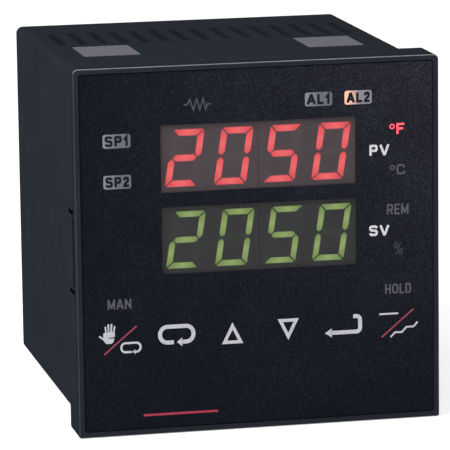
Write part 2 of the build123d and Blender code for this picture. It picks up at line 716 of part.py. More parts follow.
# Chips
with BuildPart() as logic_chips:
    with BuildSketch(at_side(BOARD_FACE_X)):
        for share, z, length, width in CHIPS:
            with Locations((BOARD_BACK + share * (BOARD_SHOULDER - BOARD_BACK), z)):
                Rectangle(length, width)
    extrude(amount=-CHIP_HEIGHT)
    chamfer(logic_chips.edges().group_by(Axis.X)[0], CHIP_CHAMFER)
pieces["logic_chips"] = logic_chips

# Spacer between the rear ends of the boards: a web with a foot on each board
with BuildPart() as board_spacer:
    with BuildSketch(at_height((FACE - SPACER_HEIGHT) / 2)):
        with Locations((0, BOARD_SHOULDER - SPACER_REAR_MARGIN)):
            Rectangle(2 * BOARD_FACE_X, SPACER_WEB)
            with GridLocations(2 * BOARD_FACE_X - SPACER_WEB, SPACER_FOOT, 2, 1):
                Rectangle(SPACER_WEB, SPACER_FOOT)
    extrude(amount=SPACER_HEIGHT)
pieces["board_spacer"] = board_spacer

# Rear panel, with slots for the contact bars
with BuildPart() as rear_panel:
    with BuildSketch(at_depth(PANEL_FRONT)):
        Rectangle(*[INNER - 2 * PANEL_CLEARANCE] * 2)
        with Locations(*corners(REAR_POST_OFFSET)):
            Circle(SMALL_SCREW_RADIUS + 2 * SCREW_HOLE_CLEARANCE, mode=Mode.SUBTRACT)
        bar_places = [(s * (BAR_X - BAR_THICKNESS / 2), z) for s in (-1, 1) for z in terminal_heights()]
        with Locations(*bar_places):
            Rectangle(
                BAR_THICKNESS + 2 * BAR_SLOT_CLEARANCE,
                BAR_WIDTH + 2 * BAR_SLOT_CLEARANCE,
                mode=Mode.SUBTRACT,
            )
    extrude(amount=-PANEL_THICKNESS)
pieces["rear_panel"] = rear_panel

# Screws of the rear panel
with BuildPart() as rear_screws:
    with BuildSketch(at_depth(PANEL_BACK)):
        with Locations(*corners(REAR_POST_OFFSET)):
            Circle(SMALL_HEAD_RADIUS)
    extrude(amount=-SMALL_HEAD_HEIGHT)
    fillet(rear_screws.edges().group_by(Axis.Y)[-1], HEAD_EDGE_RADIUS)
    with BuildSketch(at_depth(PANEL_BACK)):
        with Locations(*corners(REAR_POST_OFFSET)):
            Circle(SMALL_SCREW_RADIUS)
    extrude(amount=PANEL_THICKNESS + SMALL_SCREW_GRIP)
    with BuildSketch(at_depth(PANEL_BACK + SMALL_HEAD_HEIGHT)):
        with Locations(*corners(REAR_POST_OFFSET)):
            Rectangle(2 * SMALL_HEAD_RADIUS, DRIVE_WIDTH)
            Rectangle(DRIVE_WIDTH, 2 * SMALL_HEAD_RADIUS)
    extrude(amount=DRIVE_DEPTH, mode=Mode.SUBTRACT)
pieces["rear_screws"] = rear_screws

# Edge connectors on the inside of the rear panel
with BuildPart() as edge_connectors:
    with BuildSketch(at_depth(CONNECTOR_FRONT)):
        with Locations((-BOARD_X, 0), (BOARD_X, 0)):
            Rectangle(CONNECTOR_WIDTH, TONGUE_HEIGHT + 2 * CONNECTOR_END)
    extrude(amount=-CONNECTOR_DEPTH)
    with BuildSketch(at_depth(CONNECTOR_FRONT)):
        with Locations((-BOARD_X, 0), (BOARD_X, 0)):
            Rectangle(
                BOARD_THICKNESS + 2 * CONNECTOR_SLOT_CLEARANCE,
                TONGUE_HEIGHT + 2 * CONNECTOR_SLOT_CLEARANCE,
            )
    extrude(amount=-CONNECTOR_SLOT_DEPTH, mode=Mode.SUBTRACT)
pieces["edge_connectors"] = edge_connectors

# Terminal blocks: a well for each terminal, open to the rear and to the outer side
for name, side in (("terminal_block_left", -1), ("terminal_block_right", 1)):
    outer_x = side * (BLOCK_X + BLOCK_WIDTH / 2)
    well_length = BLOCK_WIDTH - BLOCK_INNER_WALL
    with BuildPart() as terminal_block:
        with BuildSketch(at_depth(PANEL_BACK)):
            with Locations((side * BLOCK_X, 0)):
                Rectangle(BLOCK_WIDTH, BLOCK_LENGTH)
        extrude(amount=-BLOCK_DEPTH)
        with BuildSketch(at_depth(WELL_FLOOR)):
            with Locations(*[(outer_x - side * well_length / 2, z) for z in terminal_heights()]):
                Rectangle(well_length, WELL_WIDTH)
        extrude(amount=-WELL_DEPTH, mode=Mode.SUBTRACT)
        with BuildSketch(at_depth(PANEL_BACK)):
            with Locations(*[(side * BLOCK_X, z) for z in terminal_heights()]):
                Circle(TERMINAL_SCREW_RADIUS + SCREW_HOLE_CLEARANCE)
            with Locations(*[(side * (BAR_X - BAR_THICKNESS / 2), z) for z in terminal_heights()]):
                Rectangle(
                    BAR_THICKNESS + 2 * BAR_SLOT_CLEARANCE, BAR_WIDTH + 2 * BAR_SLOT_CLEARANCE
                )
        extrude(amount=-(BLOCK_DEPTH - WELL_DEPTH), mode=Mode.SUBTRACT)
    pieces[name] = terminal_block

# Contact bars: a leg from the connector through the panel, and a foot on the floor of the well
foot_length = BLOCK_X + BAR_FOOT_REACH - BAR_X + BAR_THICKNESS
with BuildPart() as contact_bars:
    with BuildSketch(at_depth(PANEL_FRONT)):
        with Locations(*bar_places):
            Rectangle(BAR_THICKNESS, BAR_WIDTH)
    extrude(amount=-(WELL_FLOOR + BAR_THICKNESS - PANEL_FRONT))
    for side in (-1, 1):
        foot_x = side * (BAR_X - BAR_THICKNESS + foot_length / 2)
        with BuildSketch(at_depth(WELL_FLOOR)):
            with Locations(*[(foot_x, z) for z in terminal_heights()]):
                Rectangle(foot_length, CLAMP_WIDTH)
            with Locations(*[(side * BLOCK_X, z) for z in terminal_heights()]):
                Circle(TERMINAL_SCREW_RADIUS + 2 * SCREW_HOLE_CLEARANCE, mode=Mode.SUBTRACT)
        extrude(amount=-BAR_THICKNESS)
pieces["contact_bars"] = contact_bars

# Wire clamps under the screw heads
screw_places = [(s * BLOCK_X, z) for s in (-1, 1) for z in terminal_heights()]
with BuildPart() as wire_clamps:
    with BuildSketch(at_depth(CLAMP_FRONT)):
        with Locations(*screw_places):
            Rectangle(CLAMP_LENGTH, CLAMP_WIDTH)
            Circle(TERMINAL_SCREW_RADIUS + 2 * SCREW_HOLE_CLEARANCE, mode=Mode.SUBTRACT)
    extrude(amount=-CLAMP_THICKNESS)
pieces["wire_clamps"] = wire_clamps

# Terminal screws
with BuildPart() as terminal_screws:
    with BuildSketch(at_depth(HEAD_FRONT)):
        with Locations(*screw_places):
            Circle(TERMINAL_HEAD_RADIUS)
    extrude(amount=-TERMINAL_HEAD_HEIGHT)
    fillet(terminal_screws.edges().group_by(Axis.Y)[-1], HEAD_EDGE_RADIUS)
    with BuildSketch(at_depth(HEAD_FRONT)):
        with Locations(*screw_places):
            Circle(TERMINAL_SCREW_RADIUS)
    extrude(amount=HEAD_FRONT - PANEL_BACK)
    with BuildSketch(at_depth(HEAD_FRONT + TERMINAL_HEAD_HEIGHT)):
        with Locations(*screw_places):
            Rectangle(2 * TERMINAL_HEAD_RADIUS, DRIVE_WIDTH)
            Rectangle(DRIVE_WIDTH, 2 * TERMINAL_HEAD_RADIUS)
    extrude(amount=DRIVE_DEPTH, mode=Mode.SUBTRACT)
pieces["terminal_screws"] = terminal_screws

# Write one file for each piece
os.makedirs("parts", exist_ok=True)
for name, piece in pieces.items():
    piece.part.label = name
    export_step(piece.part, f"parts/{name}.step")
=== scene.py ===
"""The looks of a square panel-mounted temperature controller.

Sizes are written in millimetres and become metres where a vertex is made. X points right, Y into
the depth and Z up from the lower edge of the bezel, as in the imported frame.
"""

import logging
import math
from dataclasses import dataclass
from enum import Enum
from functools import reduce
from random import Random
from typing import ClassVar, Iterator, Sequence

import bpy
from mathutils import Matrix, Vector


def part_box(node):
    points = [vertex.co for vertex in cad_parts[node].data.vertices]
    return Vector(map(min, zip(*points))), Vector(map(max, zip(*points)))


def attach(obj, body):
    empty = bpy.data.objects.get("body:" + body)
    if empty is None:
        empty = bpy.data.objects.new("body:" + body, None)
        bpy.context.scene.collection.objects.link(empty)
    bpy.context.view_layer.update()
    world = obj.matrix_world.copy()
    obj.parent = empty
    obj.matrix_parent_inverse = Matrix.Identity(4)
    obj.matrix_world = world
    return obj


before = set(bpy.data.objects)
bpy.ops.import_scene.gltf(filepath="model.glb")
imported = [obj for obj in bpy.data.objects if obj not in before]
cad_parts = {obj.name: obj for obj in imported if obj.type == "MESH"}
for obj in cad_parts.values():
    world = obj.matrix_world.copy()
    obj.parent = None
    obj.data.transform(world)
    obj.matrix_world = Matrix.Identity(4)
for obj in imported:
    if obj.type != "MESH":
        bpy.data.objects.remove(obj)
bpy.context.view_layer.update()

LOG = logging.getLogger("controller")

MM = 0.001
METRE = 1000.0
FACE = 96.0
FACE_FRONT = -51.25
FILM_DEPTH = 0.3
PRINT_HEIGHT = 0.03
STROKE_STEP = 0.004

Point = tuple[float, float]
Triple = tuple[float, float, float]
Colour = tuple[int, int, int]
Stop = tuple[float, Colour]
Shades = tuple[tuple[float, float], ...]


def linear(colour: Colour) -> tuple[float, float, float, float]:
    """Turns a colour written from 0 to 255 into a linear colour.

    Args:
        colour: Red, green and blue as a screen shows them.

    Returns:
        The linear colour with an alpha of 1.
    """
    channels = [value / 255.0 for value in colour]
    lines = [c / 12.92 if c <= 0.04045 else ((c + 0.055) / 1.055) ** 2.4 for c in channels]
    return (lines[0], lines[1], lines[2], 1.0)


def shaded(colour: Colour, factor: float) -> Colour:
    """Makes a colour lighter or darker.

    Args:
        colour: The colour to start from.
        factor: Above 1 for lighter, below 1 for darker.

    Returns:
        The new colour, held within 0 to 255.
    """
    red, green, blue = (max(0, min(255, round(value * factor))) for value in colour)
    return (red, green, blue)


class Body(Enum):
    """The moving bodies that scene pieces ride on."""

    HOUSING = "housing"
    INSTRUMENT = "instrument"


class Axis(Enum):
    """An axis of the object, as the number of its output on a separate node."""

    X = 0
    Y = 1
    Z = 2


class Value:
    """A number or a colour that nodes work out: the output of one node."""

    def __init__(self, bench: "NodeBench", socket: bpy.types.NodeSocket) -> None:
        """Keeps the output.

        Args:
            bench: The bench that its node stands on.
            socket: The output.
        """
        self.bench = bench
        self.socket = socket

    def __add__(self, other: "Given") -> "Value":
        """Adds a value or a number."""
        return self.bench.math("ADD", self, other)

    def __sub__(self, other: "Given") -> "Value":
        """Takes a value or a number away."""
        return self.bench.math("SUBTRACT", self, other)

    def __rsub__(self, other: float) -> "Value":
        """Takes this value away from a number."""
        return self.bench.math("SUBTRACT", other, self)

    def __mul__(self, other: "Given") -> "Value":
        """Multiplies by a value or a number."""
        return self.bench.math("MULTIPLY", self, other)

    def __truediv__(self, other: "Given") -> "Value":
        """Divides by a value or a number."""
        return self.bench.math("DIVIDE", self, other)

    def __abs__(self) -> "Value":
        """Drops the sign."""
        return self.bench.math("ABSOLUTE", self)

    def at_least(self, other: "Given") -> "Value":
        """Gives the larger of this and another."""
        return self.bench.math("MAXIMUM", self, other)

    def at_most(self, other: "Given") -> "Value":
        """Gives the smaller of this and another."""
        return self.bench.math("MINIMUM", self, other)

    def above(self, limit: float) -> "Value":
        """Gives 1 above a limit and 0 elsewhere."""
        return self.bench.math("GREATER_THAN", self, limit)

    def below(self, limit: float) -> "Value":
        """Gives 1 below a limit and 0 elsewhere."""
        return self.bench.math("LESS_THAN", self, limit)

    def part(self) -> "Value":
        """Gives what stands after the decimal point."""
        return self.bench.math("FRACT", self)

    def spread(self, low: float, high: float, start: float = 0.3, end: float = 0.7) -> "Value":
        """Spreads a range of this value over another one.

        Args:
            low: What the start becomes.
            high: What the end becomes.
            start: The start of the range, for a noise its dark grains.
            end: The end of the range, for a noise its light grains.

        Returns:
            The spread value.
        """
        node = self.bench.node("ShaderNodeMapRange")
        limits = (("From Min", start), ("From Max", end), ("To Min", low), ("To Max", high))
        for name, given in (("Value", self), *limits):
            self.bench.feed(given, node.inputs[name])
        return Value(self.bench, node.outputs[0])

    def ramp(self, stops: Sequence[Stop]) -> "Value":
        """Turns this value into a colour.

        Args:
            stops: Pairs of a place on the ramp and its colour.

        Returns:
            The colour.
        """
        node = self.bench.node("ShaderNodeValToRGB")
        elements = node.color_ramp.elements
        while len(elements) < len(stops):
            elements.new(0.5)
        for element, (position, colour) in zip(elements, stops):
            element.position = position
            element.color = linear(colour)
        self.bench.feed(self, node.inputs[0])
        return Value(self.bench, node.outputs[0])

    def shades(self, colour: Colour, shades: Shades) -> "Value":
        """Turns this value into darker and lighter shades; they pair a place with a factor."""
        return self.ramp([(place, shaded(colour, factor)) for place, factor in shades])


Given = Value | float | Sequence[float]


class NodeBench:
    """Lays nodes in one tree."""

    def __init__(self, tree: bpy.types.NodeTree) -> None:
        """Keeps the tree.

        Args:
            tree: The tree that the nodes go into.
        """
        self.tree = tree

    def node(self, kind: str) -> bpy.types.Node:
        """Adds a node of that kind."""
        return self.tree.nodes.new(kind)

    def feed(self, given: Given, socket: bpy.types.NodeSocket) -> None:
        """Gives an input what it works with.

        Args:
            given: A value, or a number or colour that is the same all over.
            socket: The input.
        """
        if isinstance(given, Value):
            self.tree.links.new(given.socket, socket)
        else:
            socket.default_value = given

    def math(self, operation: str, *inputs: Given) -> Value:
        """Adds a math node.

        Args:
            operation: The operation's name.
            *inputs: Values or numbers, in the order of the node's inputs.

        Returns:
            The result.
        """
        node = self.node("ShaderNodeMath")
        node.operation = operation
        for given, socket in zip(inputs, node.inputs):
            self.feed(given, socket)
        return Value(self, node.outputs[0])

    def seen(self) -> Value:
        """Tells what is seen from what only lights.

        Returns:
            1 for what the camera, a mirror or a pane sees, and 0 for other light.
        """
        path = self.node("ShaderNodeLightPath")
        kinds = ("Is Camera Ray", "Is Glossy Ray", "Is Transmission Ray")
        return reduce(Value.at_least, [Value(self, path.outputs[kind]) for kind in kinds])


class MaterialBench(NodeBench):
    """Lays the nodes of one material round its surface shader."""

    def __init__(self, name: str) -> None:
        """Makes the empty material.

        Args:
            name: The name of the material.
        """
        self.material = bpy.data.materials.new(name)
        self.material.use_nodes = True
        super().__init__(self.material.node_tree)
        self.shader = self.tree.nodes["Principled BSDF"]
        outputs = self.node("ShaderNodeTexCoord").outputs
        self.place = Value(self, outputs["Object"])
        self.normal = Value(self, outputs["Normal"])

    def give(self, name: str, given: Given) -> None:
        """Gives an input of the shader a value, or a number or colour of its own."""
        self.feed(given, self.shader.inputs[name])

    def painted(self) -> Value:
        """Gives the colour that the surface has so far."""
        return Value(self, self.shader.inputs["Base Color"].links[0].from_socket)

    def glow(self, light: Value, strength: float) -> None:
        """Lets the surface shine in a colour."""
        self.give("Emission Color", light)
        self.give("Emission Strength", strength)

    def parts(self, direction: Value) -> list[Value]:
        """Splits a place or a direction.

        Args:
            direction: The place or the direction.

        Returns:
            Its parts along the three axes.
        """
        node = self.node("ShaderNodeSeparateXYZ")
        self.feed(direction, node.inputs[0])
        return [Value(self, socket) for socket in node.outputs]

    def along(self, axis: Axis) -> Value:
        """Gives the place along one axis, in millimetres from the frame's origin."""
        return self.parts(self.place)[axis.value] * METRE

    def noise(self, grain: float, detail: float = 2.0) -> Value:
        """Adds a noise.

        Args:
            grain: The size of its grains in millimetres.
            detail: How many finer layers it has.

        Returns:
            The noise, about 0.25 to 0.75.
        """
        node = self.node("ShaderNodeTexNoise")
        for name, given in (("Vector", self.place), ("Scale", METRE / grain), ("Detail", detail)):
            self.feed(given, node.inputs[name])
        return Value(self, node.outputs[0])

    def mix(self, factor: Value, first: Value, second: Value) -> Value:
        """Mixes two colours.

        Args:
            factor: 0 for the first colour and 1 for the second.
            first: The first colour.
            second: The second colour.

        Returns:
            The mixed colour.
        """
        node = self.node("ShaderNodeMix")
        node.data_type = "RGBA"
        for index, given in ((0, factor), (6, first), (7, second)):
            self.feed(given, node.inputs[index])
        return Value(self, node.outputs[2])

    def bump(self, height: Value, depth: float) -> None:
        """Raises the surface by a value.

        Args:
            height: The value.
            depth: How far a value of 1 raises it, in millimetres.
        """
        node = self.node("ShaderNodeBump")
        for name, given in (("Strength", 1.0), ("Distance", depth * MM), ("Height", height)):
            self.feed(given, node.inputs[name])
        self.give("Normal", Value(self, node.outputs[0]))


@dataclass(frozen=True)
class Finish:
    """What every finish has: name, colour, roughness, gloss, and a grain with its relief.

    Its class says how light the colour gets over the grain, how far the roughness wanders below and
    above its value, and how many finer layers the grain has.
    """

    SHADES: ClassVar[Shades] = ((0.3, 0.96), (0.7, 1.04))
    WANDER: ClassVar[Point] = (-0.04, 0.04)
    LAYERS: ClassVar[float] = 3.0

    name: str
    colour: Colour
    roughness: float = 0.5
    gloss: float = 0.2
    grain: float = 0.8
    relief: float = 0.0

    def material(self) -> bpy.types.Material:
        """Makes the material of this finish.

        Returns:
            The new material.
        """
        bench = MaterialBench(self.name)
        bench.give("Specular IOR Level", self.gloss)
        self.lay(bench)
        return bench.material

    def roughen(self, bench: MaterialBench, value: Value) -> None:
        """Lets the roughness wander with a value."""
        low, high = self.WANDER
        bench.give("Roughness", value.spread(self.roughness + low, self.roughness + high))

    def lay(self, bench: MaterialBench) -> None:
        """Lays the nodes of the finish: a grain that tints, roughens and raises the surface.

        Args:
            bench: The material being made.
        """
        grain = bench.noise(self.grain, self.LAYERS)
        bench.give("Base Color", grain.shades(self.colour, self.SHADES))
        self.roughen(bench, grain)
        if self.relief > 0:
            bench.bump(grain, self.relief)


@dataclass(frozen=True)
class FoamRubber(Finish):
    """Matt rubber with open, uneven grain."""

    SHADES: ClassVar[Shades] = ((0.3, 0.86), (0.55, 1.0), (0.75, 1.1))
    WANDER: ClassVar[Point] = (-0.06, 0.06)
    LAYERS: ClassVar[float] = 4.0

    grain: float = 0.6
    relief: float = 0.05


@dataclass(frozen=True)
class PlatedMetal(Finish):
    """Plated or bare metal with fine handling marks."""

    SHADES: ClassVar[Shades] = ((0.32, 0.86), (0.68, 1.06))
    WANDER: ClassVar[Point] = (-0.08, 0.1)
    LAYERS: ClassVar[float] = 4.0

    grain: float = 0.7
    relief: float = 0.008

    def lay(self, bench: MaterialBench) -> None:
        """Lays the grain on metal.

        Args:
            bench: The material being made.
        """
        super().lay(bench)
        bench.give("Metallic", 1.0)


@dataclass(frozen=True)
class WindowPane(Finish):
    """Clear, slightly smoked pane with a faint unevenness."""

    SHADES: ClassVar[Shades] = ((0.3, 0.92), (0.7, 1.08))
    WANDER: ClassVar[Point] = (-0.03, 0.03)
    LAYERS: ClassVar[float] = 2.0

    grain: float = 5.0
    relief: float = 0.01
    veil: float = 0.12

    def lay(self, bench: MaterialBench) -> None:
        """Lays a thin veil of colour on a clear pane.

        Args:
            bench: The material being made.
        """
        super().lay(bench)
        bench.give("Alpha", self.veil)
        bench.material.surface_render_method = "BLENDED"


@dataclass(frozen=True)
class MouldedPlastic(Finish):
    """Moulded plastic with the fine spark grain of its tool over a cloudy colour."""

    WANDER: ClassVar[Point] = (-0.07, 0.07)
    GRAIN_SHARE: ClassVar[float] = 0.45

    grain: float = 0.35
    relief: float = 0.02
    cloud: float = 9.0
    contrast: float = 0.06

    def lay(self, bench: MaterialBench) -> None:
        """Lays a cloudy colour under a fine grain.

        Args:
            bench: The material being made.
        """
        grain = bench.noise(self.grain)
        both = grain * self.GRAIN_SHARE + bench.noise(self.cloud, 4.0) * (1 - self.GRAIN_SHARE)
        shades = ((0.36, 1 - self.contrast), (0.64, 1 + self.contrast))
        bench.give("Base Color", both.shades(self.colour, shades))
        self.roughen(bench, grain)
        bench.bump(grain, self.relief)


@dataclass(frozen=True)
class EdgedPlastic(MouldedPlastic):
    """Moulded plastic with a painted highlight on its rounded front edges, strongest along the top."""

    top_highlight: Colour = (150, 152, 158)
    side_share: float = 0.14
    forward_rate: float = 6.0
    upward_rate: float = 1.6

    def lay(self, bench: MaterialBench) -> None:
        """Lays the plain plastic and the painted highlight on its front edges over it.

        Args:
            bench: The material being made.
        """
        super().lay(bench)
        plain = bench.painted()
        across, back, up = bench.parts(bench.normal)
        # Painted highlight: a pale band on the rounded front edges, strongest along the top and faint at the
        # sides.
        edge = 1.0 - abs(across).at_least(abs(back)).at_least(abs(up))
        forward = (back * -1.0).at_least(0.0) * self.forward_rate
        upward = (up.at_least(0.0) * self.upward_rate).at_most(1.0)
        share = upward * (1 - self.side_share) + self.side_share
        painted_highlight = (edge * forward).at_most(1.0) * share * bench.noise(3.0, 3.0).spread(0.7, 1.0)
        pale = bench.noise(1.2).shades(self.top_highlight, ((0.3, 0.93), (0.7, 1.0)))
        bench.give("Base Color", bench.mix(painted_highlight, plain, pale))


@dataclass(frozen=True)
class SleevePlastic(MouldedPlastic):
    """Moulded plastic of the housing, with painted shade in the gaps round its release fingers."""

    gap_shade_colour: Colour = (9, 10, 13)
    gap_front: float = 0.0
    gap_width: float = 1.3
    gap_height: float = 18.0
    gap_wander: float = 0.3
    slot_low: float = 9.85
    slot_high: float = 10.95
    slot_length: float = 6.5
    side: float = 46.4

    def lay(self, bench: MaterialBench) -> None:
        """Lays the plain plastic and the painted shade in its gaps.

        Args:
            bench: The material being made.
        """
        super().lay(bench)
        plain = bench.painted()
        # Painted shade: near-black colour in the gaps and slots round the release fingers, where shade
        # falls.
        behind = bench.along(Axis.Y) - self.gap_front
        level = abs(bench.along(Axis.Z) - FACE / 2)
        near = (behind + bench.noise(4.0) * self.gap_wander).below(self.gap_width)
        gap = near * level.below(self.gap_height / 2)
        slot = level.above(self.slot_low) * level.below(self.slot_high) * behind.below(self.slot_length)
        painted_gap_shade = gap.at_least(slot) * abs(bench.along(Axis.X)).above(self.side)
        dark = bench.noise(1.0).shades(self.gap_shade_colour, ((0.3, 0.8), (0.7, 1.0)))
        bench.give("Base Color", bench.mix(painted_gap_shade, plain, dark))


@dataclass(frozen=True)
class PrintedFilm(Finish):
    """Matt polyester film, printed dark from behind, with a painted sheen that makes it paler to the upper
    right.
    """

    WANDER: ClassVar[Point] = (-0.05, 0.05)
    SHADES: ClassVar[Shades] = ((0.34, 0.78), (0.52, 1.0), (0.68, 1.4))
    GRAIN_SHARE: ClassVar[float] = 0.8

    grain: float = 0.36
    relief: float = 0.012
    cloud: float = 14.0
    pale: Colour = (39, 40, 47)

    def lay(self, bench: MaterialBench) -> None:
        """Lays the speckled dark print and, across the film, the painted sheen that pales it towards the
        upper right.

        Args:
            bench: The material being made.
        """
        grain = bench.noise(self.grain, 1.0)
        both = grain * self.GRAIN_SHARE + bench.noise(self.cloud, 3.0) * (1 - self.GRAIN_SHARE)
        # Painted sheen: the print grows paler towards the film's upper right corner, mixed in by this share.
        share = (bench.along(Axis.X) + FACE / 2) / FACE * (bench.along(Axis.Z) / FACE)
        dark, pale = (both.shades(tone, self.SHADES) for tone in (self.colour, self.pale))
        bench.give("Base Color", bench.mix(share, dark, pale))
        self.roughen(bench, grain)
        bench.bump(grain, self.relief)


@dataclass(frozen=True)
class LitSegments(Finish):
    """Light bodies of a four-digit reading, brightest over the dies in the segments' middles."""

    glow: Colour = (255, 255, 255)
    end: Colour = (0, 0, 0)
    middle_height: float = 48.0
    strength: float = 1.0
    pitch: float = 12.85
    first_digit: float = -19.075
    slant: float = 9.0
    digit_width: float = 8.4
    digit_height: float = 14.8
    stroke: float = 1.6
    reach: float = 3.6
    unlit_share: float = 0.35

    def lay(self, bench: MaterialBench) -> None:
        """Lays a glow that fades from the middle of each segment to its ends.

        Args:
            bench: The material being made.
        """
        height = bench.along(Axis.Z) - self.middle_height
        lean = height * math.tan(math.radians(self.slant))
        upright = bench.along(Axis.X) - self.first_digit - lean
        local = bench.math("WRAP", upright, self.pitch / 2, -self.pitch / 2)
        half_w = (self.digit_width - self.stroke) / 2
        half_h = (self.digit_height - self.stroke) / 2
        middles = [(0, half_h), (0, 0), (0, -half_h)]
        middles += [(x, z) for x in (-half_w, half_w) for z in (-half_h / 2, half_h / 2)]
        distances = []
        for x, z in middles:
            dx, dz = local - x, height - z
            distances.append(bench.math("SQRT", dx * dx + dz * dz))
        fade = reduce(Value.at_most, distances) / self.reach + bench.noise(0.5) * 0.25
        stops = ((0.1, self.glow), (0.55, self.colour), (1.0, self.end))
        bench.glow(fade.ramp(stops), self.strength)
        bench.give("Base Color", fade.ramp([(place, shaded(c, self.unlit_share)) for place, c in stops]))
        bench.give("Roughness", self.roughness)


@dataclass(frozen=True)
class LampPaint(Finish):
    """Ink of a lamp badge, which the lamp behind it lights from one end."""

    far: Colour = (100, 100, 108)
    near_x: float = 0.0
    far_x: float = 7.0
    strength: float = 0.0

    def lay(self, bench: MaterialBench) -> None:
        """Lays a colour that changes along the badge.

        Args:
            bench: The material being made.
        """
        place = (bench.along(Axis.X) - self.near_x) / (self.far_x - self.near_x)
        soft = place + bench.noise(1.2) * 0.1
        colour = soft.ramp(((0.08, self.colour), (0.62, self.far), (1.0, shaded(self.far, 0.97))))
        bench.give("Base Color", colour)
        bench.give("Roughness", self.roughness)
        if self.strength > 0:
            bench.glow(colour, self.strength)


@dataclass(frozen=True)
class LitInk(Finish):
    """Translucent ink with a lamp behind it."""

    SHADES: ClassVar[Shades] = ((0.3, 0.9), (0.7, 1.06))

    grain: float = 0.5
    strength: float = 0.75

    def lay(self, bench: MaterialBench) -> None:
        """Lays an even glow with a faint grain.

        Args:
            bench: The material being made.
        """
        colour = bench.noise(self.grain).shades(self.colour, self.SHADES)
        bench.give("Base Color", colour)
        bench.glow(colour, self.strength)
        bench.give("Roughness", self.roughness)


@dataclass(frozen=True)
class CircuitBoard(Finish):
    """Glass laminate under solder mask, with its copper traces and tinned holes."""

    SHADES: ClassVar[Shades] = ((0.05, 0.8), (0.3, 1.0), (0.62, 1.55))
    WANDER: ClassVar[Point] = (0.0, 0.05)
    TIN: ClassVar[tuple[Stop, Stop]] = ((0.3, (120, 124, 122)), (0.7, (186, 188, 184)))
    TRACE_HALF: ClassVar[float] = 0.17
    LEVEL_CELLS: ClassVar[float] = 0.42
    TRACED_CELLS: ClassVar[float] = 0.84

    relief: float = 0.03
    across: Axis = Axis.Y
    pitch: float = 1.27
    cell: float = 7.62
    hole_pitch: float = 5.08
    hole_square: float = 0.011

    def stripe(self, distance: Value) -> Value:
        """Gives 1 on the traces that a distance crosses and 0 beside them."""
        return abs((distance / self.pitch).part() - 0.5).below(self.TRACE_HALF)

    def lay(self, bench: MaterialBench) -> None:
        """Lays traces that run across in one cell and up in the next.

        Args:
            bench: The material being made.
        """
        side, up = bench.along(self.across), bench.along(Axis.Z)
        cells = bench.node("ShaderNodeCombineXYZ")
        for distance, socket in zip((side, up), cells.inputs):
            bench.feed(bench.math("FLOOR", distance / self.cell), socket)
        chance = bench.node("ShaderNodeTexWhiteNoise")
        bench.feed(Value(bench, cells.outputs[0]), chance.inputs["Vector"])
        choice = Value(bench, chance.outputs["Value"])
        level = choice.below(self.LEVEL_CELLS)
        either = level * self.stripe(up) + (1.0 - level) * self.stripe(side)
        trace = either * choice.below(self.TRACED_CELLS)
        hole_x, hole_z = ((distance / self.hole_pitch).part() - 0.5 for distance in (side, up))
        hole = (hole_x * hole_x + hole_z * hole_z).below(self.hole_square)
        cloud = bench.noise(6.0, 3.0) * 0.25
        mask = (trace * 0.45 + cloud).shades(self.colour, self.SHADES)
        bench.give("Base Color", bench.mix(hole, mask, bench.noise(0.4).ramp(self.TIN)))
        self.roughen(bench, cloud)
        bench.bump(trace + hole, self.relief)


@dataclass(frozen=True)
class LaminatedSteel(Finish):
    """Stacked steel sheets, seen at their edges."""

    SHADES: ClassVar[Shades] = ((0.3, 0.5), (0.5, 1.0), (0.8, 1.25))
    WANDER: ClassVar[Point] = (0.0, 0.15)

    grain: float = 1.5
    relief: float = 0.04
    sheet: float = 0.5
    metal_share: float = 0.8

    def lay(self, bench: MaterialBench) -> None:
        """Lays a dark line between each two sheets.

        Args:
            bench: The material being made.
        """
        edge = abs((bench.along(Axis.X) / self.sheet).part() - 0.5)
        rust = bench.noise(self.grain, 4.0) * 0.5
        value = rust + 0.5 - edge
        bench.give("Base Color", value.shades(self.colour, self.SHADES))
        self.roughen(bench, rust)
        bench.give("Metallic", self.metal_share)
        bench.bump(value, self.relief)


@dataclass(frozen=True)
class WoundTape(Finish):
    """Overlapping turns of insulating tape."""

    SHADES: ClassVar[Shades] = ((0.0, 0.72), (0.12, 1.0), (1.0, 1.12))
    WANDER: ClassVar[Point] = (-0.05, 0.08)

    grain: float = 1.2
    relief: float = 0.08
    turn: float = 4.5
    stray: float = 1.2

    def lay(self, bench: MaterialBench) -> None:
        """Lays a soft step at each turn of the tape.

        Args:
            bench: The material being made.
        """
        height = bench.along(Axis.Z) + bench.noise(8.0) * self.stray
        step = (height / self.turn).part()
        bench.give("Base Color", step.shades(self.colour, self.SHADES))
        self.roughen(bench, bench.noise(self.grain, 3.0))
        bench.bump(step, self.relief)


@dataclass(frozen=True)
class SleevedCan(Finish):
    """Capacitor can in a shrink sleeve, bare on its end."""

    SHADES: ClassVar[Shades] = ((0.3, 0.85), (0.7, 1.15))
    WANDER: ClassVar[Point] = (-0.05, 0.08)

    grain: float = 2.0
    relief: float = 0.02
    end_x: float = 0.0
    metal: Colour = (190, 192, 196)

    def lay(self, bench: MaterialBench) -> None:
        """Lays the sleeve's colour, and metal on the end.

        Args:
            bench: The material being made.
        """
        grain = bench.noise(self.grain, 3.0)
        bare = bench.along(Axis.X).above(self.end_x)
        sleeve = grain.shades(self.colour, self.SHADES)
        metal = grain.shades(self.metal, ((0.3, 0.9), (0.7, 1.0)))
        bench.give("Base Color", bench.mix(bare, sleeve, metal))
        bench.give("Metallic", bare)
        self.roughen(bench, grain)
        bench.bump(grain, self.relief)


